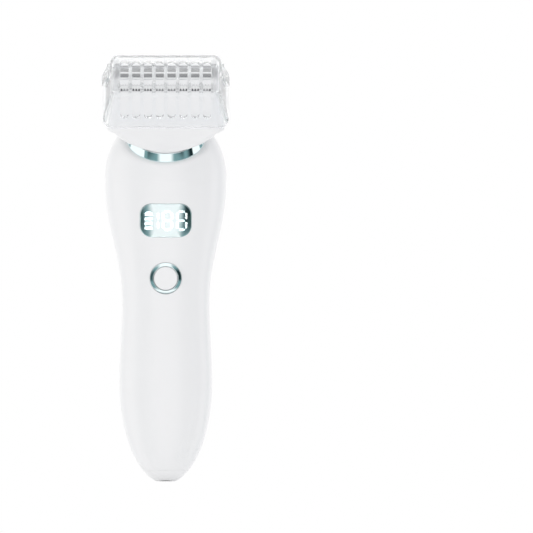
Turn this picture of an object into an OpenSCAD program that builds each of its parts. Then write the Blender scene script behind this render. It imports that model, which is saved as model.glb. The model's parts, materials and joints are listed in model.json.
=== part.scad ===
// Cordless lady shaver: a curved two-shell handle with a leaning neck, a pull-off
// foil head with a centre-driven cutter, and a clear comb cap.
// The origin is the mouth of the charging socket, +Z runs up the handle, -Y is the front.

/* [Handle] */
// Full width of the lower grip bulge
bulge_w = 36; // [32:0.5:42]
// Front-to-back depth of the lower grip bulge
bulge_d = 30; // [27:0.5:36]
// Full width of the waist
waist_w = 33.9; // [31:0.1:38]
// Front-to-back depth of the waist
waist_d = 28.4; // [27:0.1:34]
// Full width at the widest part, under the neck
chest_w = 47; // [42:0.5:54]
// Front-to-back depth at the widest part
chest_d = 41; // [39:0.5:48]
// Height of the lower grip bulge
bulge_z = 38; // [34:1:44]
// Height of the waist
waist_z = 70; // [64:1:74]
// Height where the handle starts to bend forward
bend_z = 105; // [100:1:112]
// Thickness of the shell wall
wall = 2; // [1.4:0.1:2.4]

/* [Neck] */
// Forward lean of the neck and head, degrees
neck_tilt = 37; // [30:1:40]
// Height of the centre of the collar seat
neck_z = 132.7; // [130:0.1:140]
// Forward offset of the centre of the collar seat
neck_y = 6; // [4:0.1:8]
// Outer radius of the head's round neck
neck_r = 13.4; // [12.8:0.1:14]
// Height of the chrome collar
collar_h = 3.3; // [2.4:0.1:4]
// Width of the sloping face of the chrome collar, seen from above
collar_w = 1.45; // [1:0.05:2]

/* [Controls] */
// Height of the power button's centre
button_z = 78.7; // [76:0.1:84]
// Radius of the power button's cap
button_r = 4.65; // [3.5:0.05:5]
// Outer radius of the chrome ring round the button
button_ring_r = 6.1; // [5.6:0.1:7]
// Travel of the power button
button_travel = 0.4; // [0.2:0.05:0.5]
// Width of the display window
display_w = 20; // [16:0.5:22]
// Height of the display window
display_h = 13.1; // [10:0.1:14]
// Corner radius of the display window
display_r = 4.6; // [2:0.1:5]
// Height of the display window's centre
display_z = 101.1; // [98:0.1:104]

/* [Power] */
// Radius of the battery cell
cell_r = 7; // [6:0.1:7.4]
// Length of the battery cell
cell_len = 48; // [40:0.5:50]
// Radius of the charging recess in the tail
recess_r = 2.8; // [2.2:0.1:3]
// Depth of the charging recess
recess_len = 4; // [3:0.5:5]
// Bore radius of the charging jack
jack_r = 1.8; // [1.5:0.1:2]
// Radius of the motor's round sides
motor_r = 7.7; // [6:0.1:8]
// Distance between the motor's flat sides
motor_flats = 12; // [10:0.5:12.5]
// Length of the motor can
motor_len = 20; // [16:0.5:21]

/* [Head] */
// Width of the clear cap along its open edge
cap_w = 49.8; // [46:0.2:54]
// Width of the clear cap at its top, before its corners are rounded
cap_top_w = 43.8; // [42:0.2:46]
// Front-to-back depth of the clear cap
cap_d = 24.9; // [24:0.1:28]
// Height of the clear cap
cap_h = 17.2; // [16.6:0.1:20]
// Wall thickness of the clear cap
cap_wall = 1.3; // [1:0.1:1.5]
// Radius of the clear cap's corners, seen from the front
cap_corner = 4; // [2:0.5:5]
// Number of comb slots
slot_count = 8; // [6:1:9]
// Width of one comb slot
slot_w = 3.2; // [2.4:0.1:3.4]
// Distance between comb slots
slot_pitch = 4.58; // [4.2:0.02:4.8]
// Width of the foil
foil_w = 7; // [6:0.1:7.4]
// Distance of the foil behind the head's middle
foil_y = 4.3; // [4:0.1:4.6]
// Distance of the trimmer in front of the head's middle
trimmer_y = 5.6; // [5.4:0.1:6]
// Side-to-side stroke of the cutters, each way
stroke = 0.8; // [0.4:0.1:0.9]
// How far the foil can be pushed in
float_travel = 0.8; // [0.3:0.1:1]

/* [Hidden] */
$fn = 48;
eps = 0.01;
gap = 0.3;
fit = 0.06;

white = [0.95, 0.95, 0.96];
chrome = [0.72, 0.80, 0.82];
steel = [0.70, 0.70, 0.72];
dark = [0.16, 0.17, 0.19];

// Handle skin
tail_cut = 0.8;
chest_z = bend_z + 10.4;
spine_drift = 1;
skin_power = 2.25;
skin_sides = 48;
collar_r = neck_r + 0.3 + collar_w;
seat_r = collar_r + 0.75;
tail_steps = 8;
grip_steps = 12;
bend_steps = 3;
shoulder_steps = 8;
shoulder_start = 0.5;
mouth_r = neck_r - 0.65;
seat_depth = 5;

function ease(t) = (1 - cos(180 * min(max(t, 0), 1))) / 2;
function blend(a, b, t) = a + (b - a) * ease(t);
// Half a width or depth of the handle at height z, from its bulge, waist and chest sizes
function half_size(z, bulge, waist, chest) =
    z < bulge_z ? bulge / 2 * sqrt(1 - pow(1 - (z + tail_cut) / (bulge_z + tail_cut), 2))
    : z < waist_z ? blend(bulge, waist, (z - bulge_z) / (waist_z - bulge_z)) / 2
    : blend(waist, chest, (z - waist_z) / (chest_z - waist_z)) / 2;
function half_w(z) = half_size(z, bulge_w, waist_w, chest_w);
function half_d(z) = half_size(z, bulge_d, waist_d, chest_d);
function centre_y(z) = blend(0, spine_drift, (z - waist_z) / (bend_z - waist_z));
function front_y(z) = centre_y(z) - half_d(z);

// The spine above bend_z is one cubic curve in the YZ plane that ends square to the collar seat
neck_axis = [-sin(neck_tilt), cos(neck_tilt)];
spine = [
    [spine_drift, bend_z],
    [spine_drift, bend_z + 10],
    [-neck_y, neck_z] - 13 * neck_axis,
    [-neck_y, neck_z]
];
function bend_point(u) =
    pow(1 - u, 3) * spine[0] + 3 * u * pow(1 - u, 2) * spine[1]
    + 3 * u * u * (1 - u) * spine[2] + pow(u, 3) * spine[3];
function bend_slope(u) =
    pow(1 - u, 2) * (spine[1] - spine[0]) + 2 * u * (1 - u) * (spine[2] - spine[1])
    + u * u * (spine[3] - spine[2]);
function shoulder(u) =
    let (q = max(0, (u - shoulder_start) / (1 - shoulder_start))) sqrt(max(0, 1 - q * q));

// One ring of the skin: centre y, centre z, tilt, half width, half depth, roundness
function grip_ring(z, inset) =
    [centre_y(z), z, 0, half_w(z) - inset, half_d(z) - inset, skin_power];
function bend_ring(u, inset) =
    let (p = bend_point(u), d = bend_slope(u), s = shoulder(u))
    [
        p[0], p[1], atan2(-d[0], d[1]),
        seat_r + (half_w(p[1]) - seat_r) * s - inset,
        seat_r + (half_d(p[1]) - seat_r) * s - inset,
        skin_power - (skin_power - 2) * min(1, max(0, (p[1] - bend_z) / 25))
    ];
function signed_pow(v, e) = sign(v) * pow(abs(v), e);
function ring_points(r) = [
    for (k = [0 : skin_sides - 1])
        let (
            t = 360 * k / skin_sides,
            x = r[3] * signed_pow(cos(t), 2 / r[5]),
            v = r[4] * signed_pow(sin(t), 2 / r[5])
        )
        [x, r[0] + v * cos(r[2]), r[1] + v * sin(r[2])]
];
// Rings from the tail at z_low up to the end of the bend at u_high
function skin_rings(inset, z_low, u_high) = concat(
    [for (k = [0 : tail_steps]) grip_ring(z_low + (bulge_z - z_low) * (1 - cos(90 * k / tail_steps)), inset)],
    [for (k = [1 : grip_steps]) grip_ring(bulge_z + (bend_z - bulge_z) * k / grip_steps, inset)],
    [for (k = [1 : bend_steps]) bend_ring(shoulder_start * k / bend_steps, inset)],
    [
        for (k = [1 : shoulder_steps])
            bend_ring(shoulder_start + (u_high - shoulder_start) * sin(90 * k / shoulder_steps), inset)
    ]
);

// Closed solid through a list of rings that all have the same number of points
module loft(rings) {
    n = len(rings[0]);
    last = len(rings) - 1;
    sides = [
        for (i = [0 : last - 1], j = [0 : n - 1])
            let (a = i * n + j, b = i * n + (j + 1) % n)
            each [[a, a + n, b], [b, a + n, b + n]]
    ];
    foot = [for (j = [0 : n - 1]) j];
    top = [for (j = [0 : n - 1]) last * n + n - 1 - j];
    polyhedron(points = [for (r = rings) each r], faces = concat(sides, [foot, top]), convexity = 6);
}

module outer_skin() {
    loft([for (r = skin_rings(0, 0, 1)) ring_points(r)]);
}

module inner_skin() {
    loft([for (r = skin_rings(wall, recess_len + 0.6, 1 - wall / 39)) ring_points(r)]);
}

// Neck frame: z along the neck, -y towards the front, z = 0 on the collar seat
module in_neck() {
    translate([0, -neck_y, neck_z]) rotate([neck_tilt, 0, 0]) children();
}

// Face frame: x across, y up the front face, z outwards, origin at the button's centre
face_tilt = atan((front_y(button_z) - front_y(display_z)) / (display_z - button_z));
display_up = (display_z - button_z) / cos(face_tilt);
module on_face() {
    translate([0, front_y(button_z), button_z]) rotate([90 + face_tilt, 0, 0]) children();
}

module rounded_plate(w, h, r, t) {
    hull() {
        for (sx = [-1, 1], sy = [-1, 1]) {
            translate([sx * (w / 2 - r), sy * (h / 2 - r), 0]) cylinder(r = r, h = t, $fn = 32);
        }
    }
}

module tube(r_out, r_in, h) {
    difference() {
        cylinder(r = r_out, h = h);
        translate([0, 0, -1]) cylinder(r = r_in, h = h + 2);
    }
}

// Round wire swept through a cubic curve of four control points
wire_sides = 8;
wire_steps = 9;
function wire_point(c, u) =
    pow(1 - u, 3) * c[0] + 3 * u * pow(1 - u, 2) * c[1] + 3 * u * u * (1 - u) * c[2] + pow(u, 3) * c[3];
function unit(v) = v / norm(v);
function wire_ring(c, u, r) =
    let (
        p = wire_point(c, u),
        t = unit(wire_point(c, u + 0.01) - wire_point(c, u - 0.01)),
        a = unit(cross(t, [1, 0.13, 0.07])),
        b = cross(t, a)
    )
    [for (k = [0 : wire_sides - 1]) p + r * (cos(360 * k / wire_sides) * a + sin(360 * k / wire_sides) * b)];
module wire(c, r) {
    loft([for (k = [0 : wire_steps]) wire_ring(c, k / wire_steps, r)]);
}

// Coil spring standing on z = 0
spring_sides = 6;
function coil_ring(r, wire_r, pitch, t) =
    let (e = [cos(t), sin(t), 0])
    [
        for (k = [0 : spring_sides - 1])
            (r + wire_r * cos(360 * k / spring_sides)) * e
            + [0, 0, wire_r + pitch * t / 360 + wire_r * sin(360 * k / spring_sides)]
    ];
module coil(r, wire_r, height, turns) {
    pitch = (height - 2 * wire_r) / turns;
    loft([for (k = [0 : turns * 10]) coil_ring(r, wire_r, pitch, 36 * k)]);
}

// ---------------------------------------------------------------- handle shells

hook_z = [22, 46, 74, 100];
hook_w = 5;
hook_t = 1.2;
hook_reach = 2.4;
window_gap = 0.1;

// Height of the one-piece tail cap; the two shells start above it
cap_top_z = recess_len + 0.2;
sleeve_r = 4.45;
sleeve_h = 1.8;

module seam_half(side) {
    translate([-50, side > 0 ? 0 : -50, cap_top_z]) cube([100, 50, 160]);
}

// Seat for the collar's skirt inside the top of the shells
module neck_seat() {
    in_neck() translate([0, 0, -seat_depth]) tube(mouth_r + 1.6, mouth_r, seat_depth - 0.5);
}

// Snap hook on the seam: rooted in the front wall and reaching past the seam
module snap_hook(z, side) {
    x = half_w(z) - wall;
    translate([side > 0 ? x - gap - hook_t : -x + gap, 0, z - hook_w / 2]) {
        hull() {
            translate([0, -hook_reach, 0]) cube([hook_t, 0.4, hook_w]);
            translate([0, hook_reach - 0.4, 0.6]) cube([hook_t, 0.4, hook_w - 1.2]);
        }
    }
}

module snap_root(z, side) {
    x = half_w(z) - wall;
    translate([side > 0 ? x - gap - hook_t : -x - 1, -hook_reach, z - hook_w / 2])
        cube([hook_t + gap + 1, hook_reach - gap, hook_w]);
}

// Catch in the rear wall, just above each hook
module snap_catch(z, side) {
    x = half_w(z) - wall;
    translate([side > 0 ? x - hook_t : -x - 0.8, 0, z + hook_w / 2 + gap]) {
        hull() {
            translate([0, gap, 0]) cube([hook_t + 0.8, 3, 1]);
            translate([side > 0 ? hook_t : 0, gap, 2]) cube([0.8, 3, 0.4]);
        }
    }
}

module front_shell() {
    color(white) difference() {
        union() {
            intersection() {
                difference() {
                    outer_skin();
                    inner_skin();
                }
                seam_half(-1);
            }
            intersection() {
                neck_seat();
                seam_half(-1);
            }
            for (z = hook_z, side = [-1, 1]) {
                snap_hook(z, side);
                snap_root(z, side);
            }
        }
        in_neck() translate([0, 0, -seat_depth - 1]) cylinder(r = mouth_r, h = seat_depth + 3);
        cylinder(r = sleeve_r + window_gap, h = recess_len + 6);
        on_face() {
            translate([0, display_up, -8])
                rounded_plate(display_w + 2 * window_gap, display_h + 2 * window_gap, display_r, 12);
            translate([0, 0, -8]) cylinder(r = button_ring_r - 0.5, h = 12);
            translate([0, 0, -ring_seat - window_gap]) cylinder(r = button_ring_r + window_gap, h = 12);
        }
    }
}

module rear_shell() {
    color(white) difference() {
        union() {
            intersection() {
                difference() {
                    outer_skin();
                    inner_skin();
                }
                seam_half(1);
            }
            intersection() {
                neck_seat();
                seam_half(1);
            }
            for (z = hook_z, side = [-1, 1]) {
                snap_catch(z, side);
            }
        }
        in_neck() translate([0, 0, -seat_depth - 1]) cylinder(r = mouth_r, h = seat_depth + 3);
        cylinder(r = sleeve_r + window_gap, h = recess_len + 6);
    }
}

// Tip of the tail: a ring round the charging socket with a sleeve that centres the shells
module tail_cap() {
    color(white) difference() {
        union() {
            intersection() {
                outer_skin();
                translate([-20, -20, 0]) cube([40, 40, cap_top_z - 0.03]);
            }
            translate([0, 0, cap_top_z - 1]) cylinder(r = sleeve_r, h = sleeve_h + 1);
        }
        translate([0, 0, -1]) cylinder(r = socket_r + window_gap, h = recess_len + 6);
        translate([0, 0, recess_len + 0.7]) cylinder(r = body_r + window_gap, h = 6);
    }
}

// ---------------------------------------------------------------- collar and neck plate

skirt_depth = 2.5;
ledge_h = 0.4;
collar_bore = neck_r + gap;
plate_r = mouth_r - 0.75;
spigot_r = 10.9;
spigot_h = 3;
shaft_r = 1;
gasket_z = -3.4;
gasket_wire_r = 0.85;

module collar_ring() {
    top_r = collar_bore + 0.25;
    profile = [
        [mouth_r - 0.65, -skirt_depth],
        [mouth_r - 0.05, -skirt_depth],
        [mouth_r - 0.05, 0],
        [collar_r, 0],
        [collar_r, 0.4],
        [top_r + 0.15, collar_h - 0.15],
        [top_r, collar_h],
        [collar_bore, collar_h],
        [collar_bore, ledge_h],
        [mouth_r - 0.65, ledge_h]
    ];
    color(chrome) in_neck() rotate_extrude($fn = 96) polygon(profile);
}

module neck_plate() {
    color(white) in_neck() difference() {
        union() {
            translate([0, 0, -2.4]) cylinder(r = plate_r, h = 1.6);
            translate([0, 0, -4.4]) cylinder(r = plate_r - 1.2, h = 2.1);
            translate([0, 0, -0.9]) cylinder(r = spigot_r, h = spigot_h + 0.9);
        }
        translate([0, 0, -0.8]) cylinder(r = spigot_r - 1.3, h = 10);
        translate([0, 0, -6]) cylinder(r = 2.6, h = 10);
        translate([0, 0, -6]) cylinder(r = spigot_r - 2.6, h = 3.6);
    }
}

module neck_gasket() {
    color(dark) in_neck() translate([0, 0, gasket_z])
        rotate_extrude() translate([mouth_r - gasket_wire_r - 0.1, 0]) circle(r = gasket_wire_r, $fn = 24);
}

module shaft_seal() {
    color(dark) in_neck() translate([0, 0, -2.6]) rotate_extrude() polygon([
        [shaft_r + fit, 0.8],
        [2.5, 0],
        [2.5, 2.2],
        [3.4, 2.2],
        [3.4, 2.8],
        [shaft_r + fit, 2.8]
    ]);
}

// ---------------------------------------------------------------- display and button

ring_seat = 0.9;
ring_proud = 0.45;
module_front = -3;
board_front = -7.2;
board_t = 1;
icon_t = 0.4;
window_t = 1.4;

// The window follows the shell's own outer skin
module display_window() {
    color([0.45, 0.66, 0.68, 0.6]) intersection() {
        on_face() translate([0, display_up, -8]) rounded_plate(display_w, display_h, display_r, 12);
        difference() {
            outer_skin();
            loft([for (r = skin_rings(window_t, recess_len, 1 - wall / 39)) ring_points(r)]);
        }
    }
}

bar_x = -6.7;
bar_w = 3.1;
bar_h = 1.45;
bar_pitch = 1.78;
bar_low = -3.3;
figure_low = -0.45;
digit_x = [-4.65, 0.7, 6.25];
digit_w = 3.45;
digit_h = 7.1;
seg_t = 0.92;

module segment(x, y, w, h) {
    translate([x - w / 2, y - h / 2, 0]) cube([w, h, icon_t]);
}

// One seven-segment figure: all seven bars, or only the right-hand pair
module figure(x, full) {
    for (side = [-1, 1], level = [-1, 1]) {
        if (full || side > 0)
            segment(
                x + side * digit_w / 2, figure_low + level * digit_h / 4, seg_t, digit_h / 2 - seg_t - 0.1
            );
    }
    if (full) for (level = [-1, 0, 1]) {
        segment(x, figure_low + level * digit_h / 2, digit_w - seg_t - 0.2, seg_t);
    }
}

module display_icons() {
    color("white") on_face() translate([0, display_up, module_front]) {
        for (k = [0 : 3]) segment(bar_x, bar_low + k * bar_pitch, bar_w, bar_h);
        segment(bar_x, bar_low + 4 * bar_pitch - 0.3, bar_w * 0.6, bar_h * 0.6);
        figure(digit_x[0], false);
        figure(digit_x[1], true);
        figure(digit_x[2], true);
    }
}

module display_module() {
    color([0.12, 0.14, 0.16]) on_face() translate([0, display_up, board_front])
        rounded_plate(display_w - 2.4, display_h - 1.6, 1.5, module_front - board_front);
}

module button_ring() {
    bore = button_r + 0.15;
    lip = button_ring_r;
    profile = [
        [bore, -2.3],
        [lip - 0.6, -2.3],
        [lip - 0.6, -ring_seat],
        [lip, -ring_seat],
        [lip, ring_proud - 0.5],
        [lip - 0.25, ring_proud - 0.1],
        [lip - 0.6, ring_proud],
        [bore + 0.2, ring_proud],
        [bore, ring_proud - 0.2]
    ];
    color(chrome) on_face() rotate_extrude($fn = 72) polygon(profile);
}

stem_r = 1.5;
module button_seal() {
    color([0.8, 0.8, 0.82]) on_face() translate([0, 0, -3.1])
        tube(button_ring_r - 0.6, stem_r + 0.15, 0.7);
}

module power_button() {
    color(white) on_face() rotate_extrude($fn = 72) polygon([
        [0, -3.1],
        [stem_r, -3.1],
        [stem_r, -1.8],
        [button_r, -1.8],
        [button_r, 0.05],
        [button_r - 0.35, 0.3],
        [0, 0.42]
    ]);
}

module switch_plunger() {
    color(dark) on_face() translate([0, 0, -4.4]) cylinder(r = stem_r, h = 1.3);
}

module tact_switch() {
    color(steel) on_face() difference() {
        union() {
            translate([-3, -3, board_front]) cube([6, 6, 3.2]);
            for (sx = [-1, 1], sy = [-1, 1]) {
                translate([sx * 3.4 - 0.5, sy * 2.2 - 0.35, board_front]) cube([1, 0.7, 0.5]);
            }
        }
        translate([0, 0, -5.2]) cylinder(r = stem_r + 0.12, h = 3);
    }
}

// ---------------------------------------------------------------- board and chassis

board_w = 23;
board_low = -10;
board_high = 31;
board_back = board_front - board_t;
rail_w = 2.4;
rail_t = 1.7;
spine_t = 1.4;
screw_y = [-6, 28.6];
screw_x = board_w / 2 - 1.6;
cell_y = 1;
cell_low = 18;
trough_t = 1.4;
trough_r = cell_r + 0.15 + trough_t;
lead_way = 7.6;
board_window = 15;
plate_back = board_back - rail_t - spine_t;

module main_pcb() {
    color([0.05, 0.35, 0.22]) on_face() difference() {
        translate([-board_w / 2, board_low, board_back])
            cube([board_w, board_high - board_low, board_t]);
        for (y = screw_y, s = [-1, 1]) {
            translate([s * screw_x, y, board_back - 1]) cylinder(r = 0.85, h = board_t + 2);
        }
    }
}

module chip(x, y, w, h, t) {
    translate([x - w / 2, y - h / 2, -t]) cube([w, h, t]);
}

module pcb_components() {
    color(dark) on_face() {
        translate([0, 0, board_back]) {
            chip(-2, 8, 6, 5, 1.3);
            chip(4.5, 2, 3.4, 3, 1.1);
            chip(-4, -2, 4, 2.6, 1.2);
            translate([3.5, 12, -2.4]) cylinder(r = 2.6, h = 2.4);
            translate([-4.5, 17, -3]) cylinder(r = 2.1, h = 3);
            for (k = [0 : 4]) chip(-4 + 2 * k, 22, 1, 1.8, 0.6);
            for (k = [0 : 3]) chip(-3 + 2 * k, -6, 1, 1.8, 0.6);
        }
        for (k = [0 : 3]) translate([-4.5 + 3 * k, -7.5, board_front]) cube([1, 1.8, 0.6]);
        for (s = [-1, 1]) translate([s * 7.5 - 0.8, -2, board_front]) cube([1.6, 4, 1]);
    }
}

module pcb_screws() {
    color(steel) on_face() for (y = screw_y, s = [-1, 1]) {
        translate([s * screw_x, y, board_front]) difference() {
            union() {
                cylinder(r = 1.45, h = 0.9);
                translate([0, 0, -board_t - rail_t - 0.6]) cylinder(r = 0.7, h = board_t + rail_t + 0.7);
            }
            for (a = [0, 90]) rotate(a) translate([-0.9, -0.16, 0.45]) cube([1.8, 0.32, 1]);
        }
    }
}

module chassis() {
    color([0.82, 0.83, 0.85]) union() {
        difference() {
            translate([0, cell_y, cell_low - 1.8]) cylinder(r = trough_r, h = cell_len + 5);
            translate([0, cell_y, cell_low - 0.3]) cylinder(r = cell_r + 0.15, h = cell_len + 1.9);
            translate([-20, cell_y - 22, cell_low + 5]) cube([40, 20, cell_len - 8]);
            translate([-3, cell_y + 2, cell_low + 8]) cube([6, 10, cell_len - 16]);
            translate([0, cell_y, cell_low - 3]) cylinder(r = 3, h = cell_len + 10);
            // Ways for the tabs and leads at both ends of the cell
            translate([-lead_way / 2, cell_y - cell_r - 3, cell_low - 3])
                cube([lead_way, cell_r + 3, 9]);
            translate([-lead_way / 2, cell_y - cell_r - 3, cell_low + cell_len - 5])
                cube([lead_way, cell_r + 3, 9]);
        }
        on_face() difference() {
            union() {
                translate([-board_w / 2 - 0.6, board_low - 2, plate_back])
                    cube([board_w + 1.2, board_high - board_low + 1, spine_t]);
                for (s = [-1, 1]) {
                    translate([s * (board_w - rail_w) / 2 - rail_w / 2, board_low, board_back - rail_t - eps])
                        cube([rail_w, board_high - board_low - 1, rail_t + eps]);
                }
            }
            translate([-board_window / 2, board_low + 0.5, board_back - 10])
                cube([board_window, board_high - board_low - 6, 12]);
            translate([0.4 - lead_way / 2, board_low - 3, board_back - 10]) cube([lead_way - 0.8, 6, 12]);
            for (y = screw_y, s = [-1, 1]) {
                translate([s * screw_x, y, board_back - 6]) cylinder(r = 0.72, h = 10);
            }
        }
    }
}

module battery_cell() {
    color([0.16, 0.42, 0.62]) translate([0, cell_y, cell_low]) rotate_extrude() polygon([
        [0, 0],
        [cell_r - 0.5, 0],
        [cell_r, 0.5],
        [cell_r, cell_len - 0.5],
        [cell_r - 0.5, cell_len],
        [2.6, cell_len],
        [2.6, cell_len + 0.9],
        [0, cell_len + 0.9]
    ]);
}

module battery_tabs() {
    color(steel) {
        translate([-1.5, cell_y - 6, cell_low + cell_len + 0.9]) cube([3, 8, 0.2]);
        translate([-1.5, cell_y - 6, cell_low - 0.2]) cube([3, 8, 0.2]);
    }
}

module battery_pad() {
    color([0.25, 0.25, 0.27]) translate([-4, cell_y - cell_r - 1.6, cell_low + 12]) cube([8, 1.5, 24]);
}

// ---------------------------------------------------------------- charging inlet

socket_r = recess_r + 0.45;
socket_len = 11;
body_r = 3.4;
pin_r = 0.62;

module charging_socket() {
    color(dark) difference() {
        union() {
            cylinder(r = socket_r, h = recess_len + 1);
            translate([0, 0, recess_len + 0.8]) cylinder(r = body_r, h = socket_len - recess_len);
        }
        translate([0, 0, -1]) cylinder(r = recess_r, h = recess_len + 1);
        translate([0, 0, -1]) cylinder(r = jack_r, h = socket_len);
        translate([0, 0, socket_len - 2]) cylinder(r = pin_r + 0.02, h = 4);
    }
}

module charging_pin() {
    color(steel) {
        translate([0, 0, recess_len + 1.2]) cylinder(r = pin_r, h = socket_len - recess_len + 0.6);
        translate([0, 0, socket_len + 0.8]) cylinder(r = 1.1, h = 0.8);
    }
}

module socket_seal() {
    color(dark) translate([0, 0, recess_len + 2.2]) tube(body_r + 1.1, body_r + 0.02, 1.4);
}

// ---------------------------------------------------------------- motor and drive

motor_top = -8;
motor_low = motor_top - motor_len;
motor_cap_t = 2;
hub_r = 3;
hub_low = 0.8;
hub_top = 8.6;
drive_pin_r = 0.8;
pin_top = 16.8;

module can_outline(r, flats, h) {
    intersection() {
        cylinder(r = r, h = h);
        translate([-r - 1, -flats / 2, -1]) cube([2 * r + 2, flats, h + 2]);
    }
}

module motor() {
    color(steel) in_neck() difference() {
        union() {
            translate([0, 0, motor_low]) can_outline(motor_r, motor_flats, motor_len);
            translate([0, 0, motor_top - 0.1]) cylinder(r = 3, h = 1.5);
        }
        translate([0, 0, motor_top - 6]) cylinder(r = shaft_r + fit, h = 10);
    }
}

module motor_cap() {
    color(dark) in_neck() translate([0, 0, motor_low - motor_cap_t]) {
        can_outline(motor_r - 0.2, motor_flats - 0.4, motor_cap_t);
        for (s = [-1, 1]) translate([s * 4 - 0.8, -0.2, -1.4]) cube([1.6, 0.4, 1.6]);
    }
}

holder_low = -25;
holder_h = 10;
holder_t = 1.2;
holder_foot = 3;
module motor_holder() {
    color([0.82, 0.83, 0.85]) difference() {
        in_neck() difference() {
            union() {
                translate([0, 0, holder_low]) cylinder(r = motor_r + holder_t + 0.1, h = holder_h);
                for (s = [-1, 1]) {
                    translate([s * 6 - holder_foot / 2, -17, holder_low])
                        cube([holder_foot, 11, holder_h - 3]);
                }
            }
            translate([0, 0, holder_low - 1])
                can_outline(motor_r + 0.1, motor_flats + 0.2, holder_h + 2);
            translate([-4, 0, holder_low - 1]) cube([8, 20, holder_h + 2]);
        }
        // The feet end on the back of the chassis plate
        on_face() translate([-board_w, 0, plate_back - fit]) cube([2 * board_w, 60, 20]);
    }
}

module motor_shaft() {
    color(steel) in_neck() translate([0, 0, motor_top - 5.5]) cylinder(r = shaft_r, h = 5.5 + 7 - motor_top);
}

module eccentric() {
    color(white) in_neck() difference() {
        union() {
            translate([0, 0, hub_low]) cylinder(r = hub_r, h = hub_top - hub_low);
            translate([stroke, 0, hub_top - 0.5]) cylinder(r = drive_pin_r, h = pin_top - hub_top + 0.5);
        }
        translate([0, 0, hub_low - 1]) cylinder(r = shaft_r, h = 7 - hub_low + 1);
    }
}

lead_r = 0.6;
function face_at(x, up, out) = [
    x,
    front_y(button_z) - up * sin(face_tilt) - out * cos(face_tilt),
    button_z + up * cos(face_tilt) - out * sin(face_tilt)
];
function neck_at(x, y, z) = [
    x,
    -neck_y + y * cos(neck_tilt) - z * sin(neck_tilt),
    neck_z + y * sin(neck_tilt) + z * cos(neck_tilt)
];

module battery_leads() {
    cell_top = cell_low + cell_len + 1.15;
    side_lead = [-7, cell_y - 9.5, cell_low + 16];
    color([0.75, 0.1, 0.1]) wire([
        [1, cell_y - 5, cell_top],
        [1, cell_y - 5, cell_top + 3],
        face_at(3, -6, board_back - 5),
        face_at(3, -7.5, board_back - 0.1)
    ], lead_r);
    color([0.1, 0.1, 0.12]) {
        wire([
            [0, cell_y - 5.4, cell_low - 0.9],
            [0, cell_y - 10.5, cell_low - 1.5],
            side_lead - [0, 0, 13],
            side_lead
        ], lead_r);
        wire([
            side_lead - [0, 0, 0.4],
            side_lead + [0, 0, 16],
            face_at(-3, -21, board_front + 3),
            face_at(-3, -9.2, board_front + lead_r + 0.05)
        ], lead_r);
    }
}

module motor_leads() {
    for (s = [-1, 1]) {
        color(s > 0 ? [0.75, 0.1, 0.1] : [0.1, 0.1, 0.12]) wire([
            neck_at(s * 4, 0, motor_low - motor_cap_t - 1.9),
            neck_at(s * 4, -1, motor_low - motor_cap_t - 6),
            face_at(s * 3, 24, board_back - 9),
            face_at(s * 3, 24, board_back - 0.1)
        ], lead_r);
    }
}

// ---------------------------------------------------------------- head base

cap_low = 14.8;
cap_top = cap_low + cap_h;
base_top = cap_low - 0.2;
base_floor = base_top - 3.2;
base_wall = 1.6;
corner_steps = 5;
frame_low = cap_low - 0.1;
frame_top = cap_top - 3;
frame_w = cap_w - 2 * cap_wall - 1.6;
frame_top_w = cap_top_w - 2 * cap_wall - 1.2;
frame_d = cap_d - 2 * cap_wall - 1.5;
frame_wall = 1.4;
frame_corner = 3.4;
flare_steps = 7;
neck_wall = 1.8;
neck_bottom = 0.5;
clip_z = 2;

// Ring of points round a rounded rectangle at height h in the neck frame
function rounded_ring(w, d, r, h) = [
    for (q = [0 : 3], k = [0 : corner_steps])
        let (
            t = 90 * q + 90 * k / corner_steps,
            sx = (q == 0 || q == 3) ? 1 : -1,
            sy = q < 2 ? 1 : -1
        )
        [sx * (w / 2 - r) + r * cos(t), sy * (d / 2 - r) + r * sin(t), h]
];

// Between the neck's circle at t = 0 and the rim's rounded rectangle at t = 1
function flare_ring(t, h) =
    let (
        s = sqrt(1 - pow(1 - t, 2)),
        w = 2 * neck_r + (frame_w - 2 * neck_r) * s,
        d = 2 * neck_r + (frame_d - 2 * neck_r) * s,
        r = neck_r + (frame_corner - neck_r) * t * t
    )
    rounded_ring(w, d, min(r, d / 2 - 0.01), h);

flare_low = 3.5;
flare_high = 11;
module base_body() {
    loft(concat(
        [flare_ring(0, neck_bottom)],
        [
            for (k = [0 : flare_steps])
                let (t = 1 - cos(90 * k / flare_steps))
                flare_ring(t, flare_low + (flare_high - flare_low) * t)
        ],
        [flare_ring(1, base_top)]
    ));
}

nub_x = [-15.75, -5.25, 5.25, 15.75];
nub_y = frame_d / 2 - frame_wall - 0.45;
module head_base() {
    tray = [frame_w - 2 * base_wall, frame_d - 2 * base_wall, frame_corner - 1.2];
    color(white) in_neck() {
        difference() {
            base_body();
            loft([
                rounded_ring(tray[0], tray[1], tray[2], base_floor),
                rounded_ring(tray[0], tray[1], tray[2], base_top + 2)
            ]);
            translate([0, 0, -1]) cylinder(r = neck_r - neck_wall, h = spigot_h + 1.6);
            cylinder(r = frame_d / 2 - base_wall - 0.4, h = base_floor - 1.4);
            translate([0, 0, clip_z - 0.55]) cylinder(r = neck_r - neck_wall + 0.5, h = 1.1);
            cylinder(r = hub_r + 1, h = base_floor + 1);
            for (sx = [-1, 1], sy = [-1, 1]) {
                translate([sx * guide_x, sy * guide_screw_y, base_floor - 1.4])
                    cylinder(r = 0.7, h = 4, $fn = 16);
            }
        }
        // Small ribs inside the rim that centre the foil frame
        for (x = nub_x, s = [-1, 1]) {
            hull() {
                translate([x, s * nub_y, base_top - 1]) cube([1.5, 0.6, 1], center = true);
                translate([x, s * nub_y, base_top + 0.6]) cube([1.2, 0.4, 1], center = true);
            }
        }
    }
}

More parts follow.
